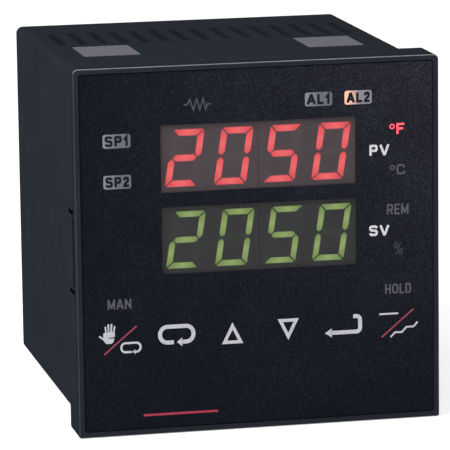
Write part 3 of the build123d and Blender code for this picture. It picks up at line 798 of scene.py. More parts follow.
class PaintShop:
    """Keeps one material for each finish."""

    def __init__(self) -> None:
        """Starts with no materials."""
        self._made: dict[str, bpy.types.Material] = {}

    def material(self, finish: Finish) -> bpy.types.Material:
        """Gives the material of a finish, made once.

        Args:
            finish: The finish.

        Returns:
            Its material.
        """
        if finish.name not in self._made:
            self._made[finish.name] = finish.material()
        return self._made[finish.name]

    def dress(self, node: str, finish: Finish) -> None:
        """Gives a piece of the frame its finish.

        Args:
            node: The name of the piece.
            finish: The finish.
        """
        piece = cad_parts[node]
        material = self.material(finish)
        if not piece.material_slots:
            piece.data.materials.append(material)
        for slot in piece.material_slots:
            slot.material = material
        LOG.info("%s: %s", node, finish.name)


@dataclass(frozen=True)
class Sheet:
    """A flat place that print or small parts stand on, with its directions."""

    origin: Triple
    right: Triple
    up: Triple

    def point(self, u: float, v: float, lift: float) -> Vector:
        """Gives a place on the sheet.

        Args:
            u: Millimetres to the right.
            v: Millimetres up.
            lift: Millimetres off the sheet.

        Returns:
            The place in the frame, in metres.
        """
        right, up = Vector(self.right), Vector(self.up)
        return (Vector(self.origin) + right * u + up * v + right.cross(up) * lift) * MM


def steps(start: float, end: float, step: float) -> Iterator[float]:
    """Walks from a start towards an end.

    Args:
        start: The first place.
        end: Where the walk is over.
        step: How far apart the places are.

    Yields:
        Each place before the end.
    """
    while start < end:
        yield start
        start += step


def rounded_path(points: Sequence[Point], radius: float, runs: int = 6) -> list[Point]:
    """Rounds the inner corners of an open path.

    Args:
        points: The path's corners.
        radius: The radius at each corner between its ends.
        runs: How many straight runs each arc has.

    Returns:
        The rounded path.
    """
    path = [points[0]]
    for before, corner, after in zip(points, points[1:], points[2:]):
        middle = Vector(corner)
        inward = (Vector(before) - middle).normalized()
        outward = (Vector(after) - middle).normalized()
        half = inward.angle(outward) / 2
        reach = radius / math.tan(half)
        centre = middle + (inward + outward).normalized() * (radius / math.sin(half))
        start, end = middle + inward * reach - centre, middle + outward * reach - centre
        for step in range(runs + 1):
            place = centre + start.lerp(end, step / runs).normalized() * radius
            path.append((place.x, place.y))
    path.append(points[-1])
    return path


def bent_path(points: Sequence[Point], runs: int = 5) -> list[Point]:
    """Bends a path of corners into one soft curve that keeps its two ends.

    Args:
        points: The corners that pull the curve.
        runs: How many straight runs the curve has at each corner.

    Returns:
        The points of the curve.
    """
    corners = [Vector(point) for point in points]
    path = [points[0]]
    last = len(corners) - 2
    for index in range(1, last + 1):
        here = corners[index]
        start = corners[0] if index == 1 else (corners[index - 1] + here) / 2
        end = corners[-1] if index == last else (here + corners[index + 1]) / 2
        for step in range(1, runs + 1):
            t = step / runs
            bent = start.lerp(here, t).lerp(here.lerp(end, t), t)
            path.append((bent.x, bent.y))
    return path


def inset(points: Sequence[Point], distance: float) -> list[Point]:
    """Moves the sides of a convex outline inwards.

    Args:
        points: The outline's corners.
        distance: How far the sides move.

    Returns:
        The new corners, in the same order.
    """
    count = len(points)
    centre = sum((Vector(p) for p in points), Vector((0.0, 0.0))) / count
    moved = []
    for index in range(count):
        before, here, after = (Vector(points[(index + k) % count]) for k in (-1, 0, 1))
        one, two = (here - before).normalized(), (after - here).normalized()
        normals = [Vector((-d.y, d.x)) for d in (one, two)]
        normals = [n if n.dot(centre - here) > 0 else -n for n in normals]
        bisector = (normals[0] + normals[1]).normalized()
        corner = here + bisector * (distance / bisector.dot(normals[0]))
        moved.append((corner.x, corner.y))
    return moved


def box(left: float, low: float, right: float, high: float) -> list[Point]:
    """Gives the outline of a rectangle."""
    return [(left, low), (right, low), (right, high), (left, high)]


def rounded_box(edges: Sequence[float], radius: float, runs: int = 5) -> list[Point]:
    """Gives the outline of a rectangle with round corners.

    Args:
        edges: The left, lower, right and upper side.
        radius: The radius of its corners.
        runs: How many straight runs each corner has.

    Returns:
        The outline's points.
    """
    left, low, right, high = edges
    outline = []
    centres = ((right - radius, high - radius, 0), (left + radius, high - radius, 90),
               (left + radius, low + radius, 180), (right - radius, low + radius, 270))
    for x, y, start in centres:
        for step in range(runs + 1):
            angle = math.radians(start + 90 * step / runs)
            outline.append((x + radius * math.cos(angle), y + radius * math.sin(angle)))
    return outline


def circle(u: float, v: float, radius: float, sides: int) -> list[Point]:
    """Gives the outline of a circle.

    Args:
        u: The place of its middle to the right.
        v: The place of its middle upwards.
        radius: Its radius.
        sides: How many sides it has.

    Returns:
        The outline's points.
    """
    turns = [2 * math.pi * k / sides for k in range(sides)]
    return [(u + radius * math.cos(turn), v + radius * math.sin(turn)) for turn in turns]


@dataclass(frozen=True)
class Glyph:
    """The middle lines of one character, on a field one wide and one high."""

    share: float
    straight: tuple[tuple[Point, ...], ...] = ()
    bent: tuple[tuple[Point, ...], ...] = ()

    def lines(self) -> list[list[Point]]:
        """Gives the straight lines and the bent ones."""
        return [list(line) for line in self.straight] + [bent_path(line) for line in self.bent]


ROUND = ((0.5, 0), (0, 0), (0, 1), (1, 1), (1, 0), (0.5, 0))
STEM = ((0, 0), (0, 1))
FAR_STEM = ((1, 0), (1, 1))
GLYPHS = {
    "0": Glyph(0.56, (), (ROUND,)),
    "1": Glyph(0.42, (((0.0, 0.7), (0.72, 1), (0.72, 0)),)),
    "2": Glyph(0.56, (((0, 0), (1, 0)),), (
        ((0, 0.7), (0.03, 1), (0.5, 1), (0.98, 1), (0.98, 0.6), (0.5, 0.38), (0.1, 0.16), (0, 0)),)),
    "3": Glyph(0.56, (), (
        ((0.02, 0.76), (0.05, 1), (0.5, 1), (0.95, 1), (0.95, 0.53), (0.4, 0.53)),
        ((0.4, 0.53), (1, 0.53), (1, 0), (0.5, 0), (0.03, 0), (0, 0.26)))),
    "4": Glyph(0.58, (((0.74, 0), (0.74, 1), (0, 0.3), (1, 0.3)),)),
    "5": Glyph(0.56, (((0.92, 1), (0.14, 1), (0.06, 0.5)),), (
        ((0.06, 0.5), (0.3, 0.66), (1, 0.66), (1, 0), (0.5, 0), (0.04, 0), (0, 0.25)),)),
    "6": Glyph(0.56, (), (
        ((0.94, 0.78), (0.9, 1), (0.5, 1), (0, 1), (0, 0.35), (0, 0), (0.5, 0), (1, 0), (1, 0.6),
         (0.5, 0.6), (0.05, 0.6), (0, 0.35)),)),
    "7": Glyph(0.56, (((0, 1), (1, 1), (0.55, 0.5), (0.35, 0)),)),
    "8": Glyph(0.56, (), (
        ((0.5, 0.53), (0.05, 0.53), (0.05, 1), (0.95, 1), (0.95, 0.53), (0.5, 0.53)),
        ((0.5, 0.53), (0, 0.53), (0, 0), (1, 0), (1, 0.53), (0.5, 0.53)))),
    "9": Glyph(0.56, (), (
        ((0.06, 0.22), (0.1, 0), (0.5, 0), (1, 0), (1, 0.65), (1, 1), (0.5, 1), (0, 1), (0, 0.4),
         (0.5, 0.4), (0.95, 0.4), (1, 0.65)),)),
    "A": Glyph(0.76, (((0, 0), (0.45, 1)), ((1, 0), (0.55, 1)), ((0.2, 0.29), (0.8, 0.29)))),
    "C": Glyph(0.72, (), (
        ((1, 0.7), (0.98, 1), (0.52, 1), (0, 1), (0, 0), (0.52, 0), (0.98, 0), (1, 0.3)),)),
    "D": Glyph(0.7, (STEM,), (((0, 1), (0.45, 1), (1, 1), (1, 0), (0.45, 0), (0, 0)),)),
    "E": Glyph(0.62, (((1, 1), (0, 1), (0, 0), (1, 0)), ((0, 0.51), (0.86, 0.51)))),
    "F": Glyph(0.6, (((1, 1), (0, 1), (0, 0)), ((0, 0.5), (0.82, 0.5)))),
    "H": Glyph(0.7, (STEM, FAR_STEM, ((0, 0.51), (1, 0.51)))),
    "L": Glyph(0.58, (((0, 1), (0, 0), (1, 0)),)),
    "M": Glyph(0.82, (STEM, FAR_STEM, ((0, 0.96), (0.5, 0.1)), ((1, 0.96), (0.5, 0.1)))),
    "N": Glyph(0.7, (STEM, FAR_STEM, ((0.02, 0.96), (0.98, 0.04)))),
    "O": Glyph(0.78, (), (ROUND,)),
    "P": Glyph(0.64, (STEM,), (((0, 1), (0.55, 1), (1, 1), (1, 0.45), (0.55, 0.45), (0, 0.45)),)),
    "R": Glyph(0.68, (STEM, ((0.55, 0.47), (0.98, 0.02))), (
        ((0, 1), (0.6, 1), (1, 1), (1, 0.48), (0.6, 0.48), (0, 0.48)),)),
    "S": Glyph(0.68, (), (
        ((0.99, 0.8), (0.93, 1), (0.5, 1), (0.01, 1), (0.01, 0.56), (0.5, 0.52), (1, 0.47), (1, 0),
         (0.5, 0), (0.05, 0), (0, 0.21)),)),
    "V": Glyph(0.74, (((0, 1), (0.45, 0)), ((1, 1), (0.55, 0)))),
    "%": Glyph(0.9, (((0.24, 0.02), (0.76, 0.98)),), (
        ((0.17, 0.56), (0, 0.56), (0, 1), (0.34, 1), (0.34, 0.56), (0.17, 0.56)),
        ((0.83, 0), (0.66, 0), (0.66, 0.44), (1, 0.44), (1, 0), (0.83, 0)))),
}
LETTER_GAP = 0.14
CAP_SHARE = 0.4
SHARPEST_MITRE = 0.35
DOME_RINGS = ((1.0, 0.0), (0.82, 0.4), (0.5, 0.78), (0.18, 1.0))
DOME_SIDES = 10


def put(name: str, data: bpy.types.ID) -> bpy.types.Object:
    """Makes an object and puts it in the scene.

    Args:
        name: Its name.
        data: Its mesh, lamp or camera.

    Returns:
        The object.
    """
    item = bpy.data.objects.new(name, data)
    bpy.context.scene.collection.objects.link(item)
    return item


class Form:
    """A piece being built from thin solids on a sheet."""

    def __init__(self, sheet: Sheet) -> None:
        """Starts an empty piece.

        Args:
            sheet: Where the piece's solids stand.
        """
        self.sheet = sheet
        self.points: list[Vector] = []
        self.faces: list[tuple[int, ...]] = []

    def _layer(self, outline: Sequence[Point], lift: float) -> list[int]:
        """Adds an outline's points at one height.

        Args:
            outline: The outline's points.
            lift: Their height.

        Returns:
            The numbers of the new points.
        """
        first = len(self.points)
        self.points.extend(self.sheet.point(u, v, lift) for u, v in outline)
        return list(range(first, len(self.points)))

    def _wall(self, low: Sequence[int], high: Sequence[int], closed: bool = True) -> None:
        """Joins two layers by a wall.

        Args:
            low: The points of one layer.
            high: The points of the other, as many.
            closed: Whether the wall goes all round.
        """
        count = len(low)
        for index in range(count if closed else count - 1):
            after = (index + 1) % count
            self.faces.append((low[index], low[after], high[after], high[index]))

    def prism(self, outline: Sequence[Point], low: float, high: float, edge: float = 0.0) -> None:
        """Adds a solid with an outline, its upper edge broken if wished.

        Args:
            outline: The outline's corners.
            low: The height of its foot.
            high: The height of its top.
            edge: The size of the chamfer round the top.
        """
        foot = self._layer(outline, low)
        self.faces.append(tuple(reversed(foot)))
        below = foot
        if edge > 0:
            below = self._layer(outline, high - edge)
            self._wall(foot, below)
            outline = inset(outline, edge)
        top = self._layer(outline, high)
        self._wall(below, top)
        self.faces.append(tuple(top))

    def ring(self, outer: Sequence[Point], inner: Sequence[Point], low: float, high: float) -> None:
        """Adds a solid between two outlines of as many points.

        Args:
            outer: The outer outline.
            inner: The inner outline.
            low: The height of its foot.
            high: The height of its top.
        """
        layers = [self._layer(outline, lift) for lift in (low, high) for outline in (outer, inner)]
        outer_low, inner_low, outer_high, inner_high = layers
        self._wall(outer_low, outer_high)
        self._wall(inner_high, inner_low)
        self._wall(outer_high, inner_high)
        self._wall(inner_low, outer_low)

    def ribbon(self, path: Sequence[Point], width: float, low: float, high: float,
               cap: float = 0.0) -> None:
        """Adds a strip along an open path.

        Args:
            path: The middle line.
            width: The strip's width.
            low: The height of its foot.
            high: The height of its top.
            cap: How far it reaches past both ends of the path.
        """
        lefts, rights = [], []
        count = len(path)
        if cap > 0:
            first, last = Vector(path[0]), Vector(path[-1])
            first += (first - Vector(path[1])).normalized() * cap
            last += (last - Vector(path[-2])).normalized() * cap
            path = [tuple(first), *path[1:-1], tuple(last)]
        for index in range(count):
            here = Vector(path[index])
            back = (here - Vector(path[index - 1])).normalized() if index > 0 else None
            ahead = (Vector(path[index + 1]) - here).normalized() if index < count - 1 else None
            one, two = back or ahead, ahead or back
            side = Vector((-one.y, one.x)) + Vector((-two.y, two.x))
            side.normalize()
            reach = width / 2 / max(SHARPEST_MITRE, side.dot(Vector((-one.y, one.x))))
            lefts.append(tuple(here + side * reach))
            rights.append(tuple(here - side * reach))
        low_left, low_right = self._layer(lefts, low), self._layer(rights, low)
        high_left, high_right = self._layer(lefts, high), self._layer(rights, high)
        round_trip = (low_left, high_left, high_right, low_right, low_left)
        for one, two in zip(round_trip, round_trip[1:]):
            self._wall(one, two, closed=False)
        for index in (0, -1):
            self.faces.append((low_left[index], low_right[index], high_right[index], high_left[index]))

    def dome(self, u: float, v: float, radius: float, height: float) -> None:
        """Adds a low dome, such as a solder joint.

        Args:
            u: The place of its middle to the right.
            v: The place of its middle upwards.
            radius: Its radius.
            height: Its height.
        """
        layers = [self._layer(circle(u, v, radius * share, DOME_SIDES), height * lift)
                  for share, lift in DOME_RINGS]
        for low, high in zip(layers, layers[1:]):
            self._wall(low, high)
        self.faces.append(tuple(layers[-1]))
        self.faces.append(tuple(reversed(layers[0])))

    def words(self, text: str, edges: Sequence[float], stroke: float, low: float, high: float) -> None:
        """Adds plain lettering that fills a box.

        Each stroke of a letter is a little higher than the last, so that no two tops share a plane.

        Args:
            text: What it says.
            edges: The left, lower, right and upper side of the box.
            stroke: The width of its strokes.
            low: The height of its foot.
            high: The height of its top.
        """
        left, bottom, right, top = edges
        shares = sum(GLYPHS[letter].share for letter in text)
        unit = (right - left) / (shares + LETTER_GAP * (len(text) - 1))
        tall = top - bottom - stroke
        for letter in text:
            glyph = GLYPHS[letter]
            wide = unit * glyph.share - stroke
            for index, line in enumerate(glyph.lines()):
                path = [(left + stroke / 2 + x * wide, bottom + stroke / 2 + y * tall) for x, y in line]
                cap = stroke * CAP_SHARE if index < len(glyph.straight) else 0.0
                self.ribbon(path, stroke, low, high + STROKE_STEP * index, cap)
            left += unit * (glyph.share + LETTER_GAP)

    def piece(self, name: str, finish: Finish, body: Body, slot: str, shop: PaintShop) -> None:
        """Makes the object, dresses it and lets it ride on its body.

        Args:
            name: The name of the piece.
            finish: Its finish.
            body: The body that it rides on.
            slot: The record's material slot that it belongs to; not used.
            shop: Where its material is made.
        """
        mesh = bpy.data.meshes.new(name)
        mesh.from_pydata([tuple(point) for point in self.points], [], self.faces)
        mesh.validate()
        mesh.update()
        mesh.materials.append(shop.material(finish))
        piece = put(name, mesh)
        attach(piece, body.value)
        LOG.info("%s: %d faces, rides on %s", name, len(self.faces), body.value)


WHITE_INK = Finish("white ink", (205, 205, 210), 0.6, 0.1)
PALE_INK = Finish("pale ink", (188, 188, 194), 0.6, 0.1)
DIM_INK = Finish("dim ink", (84, 84, 91), 0.6, 0.1)
FAINT_INK = Finish("faint ink", (58, 60, 68), 0.6, 0.1)
WAVE_INK = Finish("grey ink", (76, 79, 86), 0.6, 0.05)
RED_INK = Finish("red ink", (166, 60, 77), 0.6, 0.05)
THIN_RED_INK = Finish("thin red ink", (148, 68, 83), 0.6, 0.05)
DARK_INK = Finish("dark ink", (19, 21, 26), 0.6, 0.1)
LIT_RED_INK = LitInk("red ink with its lamp lit", (238, 84, 96), 0.6, 0.1)
NUMBER_INK = Finish("terminal number ink", (196, 196, 196), 0.6, 0.1)


@dataclass(frozen=True)
class Legend:
    """One printed word with its box, measured from the face's upper left corner."""

    name: str
    text: str
    left: float
    top: float
    right: float
    bottom: float
    ink: Finish = DARK_INK
    stroke: float = 0.66

    def edges(self, side: float = 0.0, end: float = 0.0) -> tuple[float, float, float, float]:
        """Gives the box, measured upwards.

        Args:
            side: How much narrower it gets on its left and right.
            end: How much it gets lower on its lower and upper side.

        Returns:
            Its left, lower, right and upper side.
        """
        return (self.left + side, -self.bottom + end, self.right - side, -self.top - end)


@dataclass
class FrontPrint:
    """The print on the front film: words, lamp badges, key signs and a rule.

    Places are millimetres to the right of and below the face's upper left corner.
    """

    shop: PaintShop
    lift: float = PRINT_HEIGHT
    badge_radius: float = 0.6
    badge_side: float = 0.5
    badge_end: float = 0.42
    lit_badge: str = "al2"
    degree_sides: int = 20
    sign_stroke: float = 1.05
    slash_stroke: float = 0.41
    triangle_stroke: float = 0.85
    badges: tuple[Legend, ...] = (
        Legend("sp1", "SP1", 7.5, 17.1, 14.7, 20.7),
        Legend("sp2", "SP2", 7.5, 27.7, 14.7, 31.25),
        Legend("al1", "AL1", 60.5, 8.6, 67.7, 12.2),
        Legend("al2", "AL2", 71.0, 8.6, 78.2, 12.2),
    )
    legends: tuple[Legend, ...] = (
        Legend("pv", "PV", 77.5, 23.0, 82.8, 25.9, WHITE_INK, 0.62),
        Legend("sv", "SV", 77.3, 44.2, 82.7, 47.0, WHITE_INK, 0.62),
        Legend("fahrenheit", "F", 84.75, 17.6, 86.9, 20.5, LIT_RED_INK, 0.58),
        Legend("celsius", "C", 84.7, 28.4, 87.0, 31.1, DIM_INK, 0.48),
        Legend("remote", "REM", 82.1, 38.8, 87.9, 41.6, DIM_INK, 0.44),
        Legend("percent", "%", 83.9, 48.9, 86.3, 52.3, FAINT_INK, 0.34),
        Legend("manual", "MAN", 8.0, 59.9, 14.2, 62.6, DIM_INK, 0.44),
        Legend("hold", "HOLD", 81.5, 59.9, 88.5, 62.6, DIM_INK, 0.44),
    )

    def form(self) -> Form:
        """Starts a new printed piece."""
        return Form(Sheet((-FACE / 2, FACE_FRONT + FILM_DEPTH, FACE), (1, 0, 0), (0, 0, 1)))

    def add(self, form: Form, name: str, ink: Finish) -> None:
        """Finishes a printed piece: its form, its name and its ink."""
        form.piece(name, ink, Body.INSTRUMENT, "film", self.shop)

    def field(self, form: Form, points: Sequence[Point]) -> None:
        """Prints a filled outline, its places measured downwards."""
        form.prism([(u, -v) for u, v in points], 0.0, self.lift)

    def line(self, form: Form, points: Sequence[Point], width: float, sunk: float = 0.0) -> None:
        """Prints a line, its places measured downwards, a little sunk where another crosses it."""
        form.ribbon([(u, -v) for u, v in points], width, 0.0, self.lift - sunk)

    def print_legends(self) -> None:
        """Prints the words beside the windows and above the keys."""
        for legend in self.legends:
            form = self.form()
            form.words(legend.text, legend.edges(), legend.stroke, 0.0, self.lift)
            self.add(form, "legend_" + legend.name, legend.ink)

    def print_degree(self, name: str, u: float, v: float, radius: float, stroke: float, ink: Finish) -> None:
        """Prints a degree ring.

        Args:
            name: The name of the piece.
            u: The place of its middle to the right.
            v: The place of its middle downwards.
            radius: Its outer radius.
            stroke: Its stroke.
            ink: Its ink.
        """
        form = self.form()
        outer, inner = (circle(u, -v, size, self.degree_sides) for size in (radius, radius - stroke))
        form.ring(outer, inner, 0.0, self.lift)
        self.add(form, name, ink)

    def print_badges(self) -> None:
        """Prints the four lamp badges and the letters on them."""
        for badge in self.badges:
            form = self.form()
            form.prism(rounded_box(badge.edges(), self.badge_radius), 0.0, self.lift)
            ends = {"near_x": badge.left - FACE / 2, "far_x": badge.right - FACE / 2}
            paint = LampPaint("badge " + badge.name, (128, 130, 137), 0.55, 0.1, far=(104, 106, 113), **ends)
            if badge.name == self.lit_badge:
                paint = LampPaint("badge with its lamp lit", (238, 182, 152), 0.55, 0.1,
                                  far=(120, 116, 122), strength=0.35, **ends)
            self.add(form, "badge_" + badge.name, paint)
            letters = self.form()
            edges = badge.edges(self.badge_side, self.badge_end)
            letters.words(badge.text, edges, badge.stroke, self.lift, 2 * self.lift)
            self.add(letters, "badge_letters_" + badge.name, badge.ink)

    def print_heater(self) -> None:
        """Prints the heater's zigzag above the upper window."""
        form = self.form()
        zigzag = [(28.7, 10.3), (29.6, 10.3), (30.3, 9.0), (31.2, 11.7), (32.1, 8.9), (32.9, 11.7),
                  (33.8, 8.9), (34.4, 11.7), (34.9, 10.25), (35.7, 10.4)]
        self.line(form, zigzag, 0.38)
        self.add(form, "heater_sign", WAVE_INK)

    def print_slash(self, name: str, foot: Point, top: Point) -> None:
        """Prints the thin slash of a key with two uses.

        Args:
            name: The name of the key.
            foot: Its lower end.
            top: Its upper end.
        """
        slash = self.form()
        self.line(slash, [foot, top], self.slash_stroke)
        self.add(slash, "icon_slash_" + name, THIN_RED_INK)

    def print_manual_key(self) -> None:
        """Prints the open hand, the slash and the small loop of the first key."""
        hand = self.form()
        fingers = (((7.3, 66.95), (7.5, 68.9), 0.4), ((8.05, 66.35), (8.15, 68.8), 0.43),
                   ((8.9, 66.3), (8.8, 68.8), 0.47), ((9.75, 66.9), (9.4, 68.9), 0.42))
        for tip, root, width in fingers:
            self.line(hand, [tip, root], width, STROKE_STEP)
        palm = [(6.75, 68.75), (7.3, 68.45), (9.1, 68.45), (9.75, 68.75), (9.72, 69.8), (8.2, 69.9),
                (8.2, 70.12), (9.62, 70.1), (9.35, 71.1), (8.85, 71.5), (7.5, 71.5), (6.95, 70.95),
                (6.7, 70.2)]
        self.field(hand, palm)
        self.line(hand, [(5.65, 69.4), (6.1, 69.75), (6.95, 70.4)], 0.45, STROKE_STEP)
        self.add(hand, "icon_hand", PALE_INK)
        self.print_slash("manual", (6.9, 74.3), (15.5, 67.2))
        loop = self.form()
        path = [(14.1, 73.95), (11.38, 73.95), (11.38, 71.58), (16.42, 71.58), (16.42, 73.95), (15.0, 73.95)]
        self.line(loop, rounded_path(path, 1.1), 0.55)
        self.field(loop, [(14.2, 73.95), (15.1, 73.35), (15.1, 74.55)])
        self.add(loop, "icon_small_loop", PALE_INK)

    def print_arrow(self, name: str, path: Sequence[Point], radius: float, head: Sequence[Point]) -> None:
        """Prints a broad line with round corners and an arrow head.

        Args:
            name: The name of the piece.
            path: The line's corners.
            radius: The radius of its corners.
            head: The corners of the arrow head.
        """
        form = self.form()
        self.line(form, rounded_path(path, radius, 8), self.sign_stroke)
        self.field(form, head)
        self.add(form, name, PALE_INK)

    def print_loop_key(self) -> None:
        """Prints the large loop with its arrow head."""
        path = [(25.2, 72.06), (21.59, 72.06), (21.59, 67.92), (30.37, 67.92), (30.37, 72.06), (27.3, 72.06)]
        self.print_arrow("icon_loop", path, 1.95, [(25.97, 72.06), (27.4, 70.89), (27.4, 73.23)])

    def print_arrow_keys(self) -> None:
        """Prints the open triangles of the up key and the down key."""
        outlines = {"up": [(40.7, -67.75), (43.55, -73.35), (37.85, -73.35)],
                    "down": [(55.5, -73.25), (52.7, -67.6), (58.35, -67.6)]}
        for name, outline in outlines.items():
            form = self.form()
            form.ring(outline, inset(outline, self.triangle_stroke), 0.0, self.lift)
            self.add(form, "icon_" + name, PALE_INK)

    def print_enter_key(self) -> None:
        """Prints the bent arrow of the enter key."""
        path = [(67.0, 72.06), (74.72, 72.06), (74.72, 67.95), (72.9, 67.95)]
        self.print_arrow("icon_enter", path, 1.0, [(65.3, 72.06), (67.15, 70.86), (67.15, 73.26)])

    def print_ramp_key(self) -> None:
        """Prints the bar, the slash and the stepped line of the last key."""
        bar = self.form()
        self.line(bar, [(79.9, 67.85), (85.0, 67.85)], 0.47)
        rise = [(82.9, 74.1), (84.1, 72.9), (86.0, 72.9), (87.2, 71.6), (89.1, 71.6), (90.2, 70.4)]
        self.line(bar, rise, 0.48)
        self.add(bar, "icon_ramp", PALE_INK)
        self.print_slash("ramp", (80.5, 74.0), (89.1, 66.9))

    def print_rule(self) -> None:
        """Prints the plain rule at the lower edge."""
        form = self.form()
        form.prism(rounded_box((16.9, -91.2, 36.6, -90.6), 0.28), 0.0, self.lift)
        self.add(form, "lower_rule", RED_INK)

    def build(self) -> None:
        """Prints everything on the film."""
        self.print_legends()
        self.print_degree("degree_fahrenheit", 83.6, 18.45, 0.72, 0.34, LIT_RED_INK)
        self.print_degree("degree_celsius", 83.6, 29.25, 0.68, 0.3, DIM_INK)
        self.print_badges()
        self.print_heater()
        self.print_manual_key()
        self.print_loop_key()
        self.print_arrow_keys()
        self.print_enter_key()
        self.print_ramp_key()
        self.print_rule()


@dataclass
class RearMarks:
    """The numbers beside the terminals on the rear panel."""

    shop: PaintShop
    depth: float = 94.0
    column: float = 22.9
    pitch: float = 7.62
    per_side: int = 9
    width: float = 1.25
    height: float = 2.3
    stroke: float = 0.34

    def build(self) -> None:
        """Prints the numbers, counted from the top of the right-hand column seen from behind."""
        sheet = Sheet((0.0, FACE_FRONT + self.depth, FACE / 2), (-1, 0, 0), (0, 0, 1))
        for side, first in ((1, 1), (-1, 1 + self.per_side)):
            form = Form(sheet)
            for row in range(self.per_side):
                text = str(first + row)
                level = self.pitch * ((self.per_side - 1) / 2 - row)
                reach = self.width * len(text) / 2
                centre = side * self.column
                edges = (centre - reach, level - self.height / 2, centre + reach, level + self.height / 2)
                form.words(text, edges, self.stroke, 0.0, PRINT_HEIGHT)
            form.piece(f"terminal_numbers_{first}", NUMBER_INK, Body.HOUSING, "black_plastic", self.shop)


@dataclass(frozen=True)
class Block:
    """The box of one solid of the frame, in millimetres."""

    low: Triple
    high: Triple

    @property
    def centre(self) -> Triple:
        """The middle of the box."""
        return tuple((a + b) / 2 for a, b in zip(self.low, self.high))

    def misses(self, depth: float, height: float, deep: float, high: float) -> bool:
        """Tells whether a place is clear of the box, seen from the side.

        Args:
            depth: How deep the place is.
            height: How high it is.
            deep: The room to keep before and behind the box.
            high: The room to keep below and above it.

        Returns:
            Whether the place is clear.
        """
        beside = depth < self.low[1] - deep or depth > self.high[1] + deep
        return beside or height < self.low[2] - high or height > self.high[2] + high


def solids_of(node: str) -> list[Block]:
    """Finds the separate solids of a piece of the frame.

    Args:
        node: The name of the piece.

    Returns:
        The box of each solid, from low to high.
    """
    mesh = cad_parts[node].data
    keys = [tuple(round(c / MM, 2) for c in vertex.co) for vertex in mesh.vertices]
    parent = {key: key for key in keys}

    def root(key: tuple[float, ...]) -> tuple[float, ...]:
        """Follows a point to the first point of its solid.

        Args:
            key: The point.

        Returns:
            The first point.
        """
        while parent[key] != key:
            parent[key] = parent[parent[key]]
            key = parent[key]
        return key

    for face in mesh.polygons:
        first = root(keys[face.vertices[0]])
        for index in face.vertices[1:]:
            parent[root(keys[index])] = first
    groups: dict[tuple[float, ...], list[tuple[float, ...]]] = {}
    for key in set(keys):
        groups.setdefault(root(key), []).append(key)
    blocks = [Block(*(tuple(pick(axis) for axis in zip(*group)) for pick in (min, max)))
              for group in groups.values()]
    return sorted(blocks, key=lambda block: block.low)


TINNED_LEADS = PlatedMetal("tinned leads", (178, 180, 184), 0.38, 0.5, 0.4)
SOLDER = PlatedMetal("solder", (170, 172, 176), 0.3, 0.5, 0.9)
GILDED = PlatedMetal("gilded contacts", (206, 168, 92), 0.28, 0.5, 0.6)
RESISTOR_BODY = MouldedPlastic("resistor body", (22, 22, 24), 0.4, 0.3, 0.3)
CERAMIC_BODY = MouldedPlastic("ceramic body", (150, 122, 92), 0.5, 0.3, 0.4)
BOARDS = ("power_board", "logic_board")


@dataclass(frozen=True)
class LooseSize:
    """A size of loose part: half its length and half its width."""

    half: float
    low: float


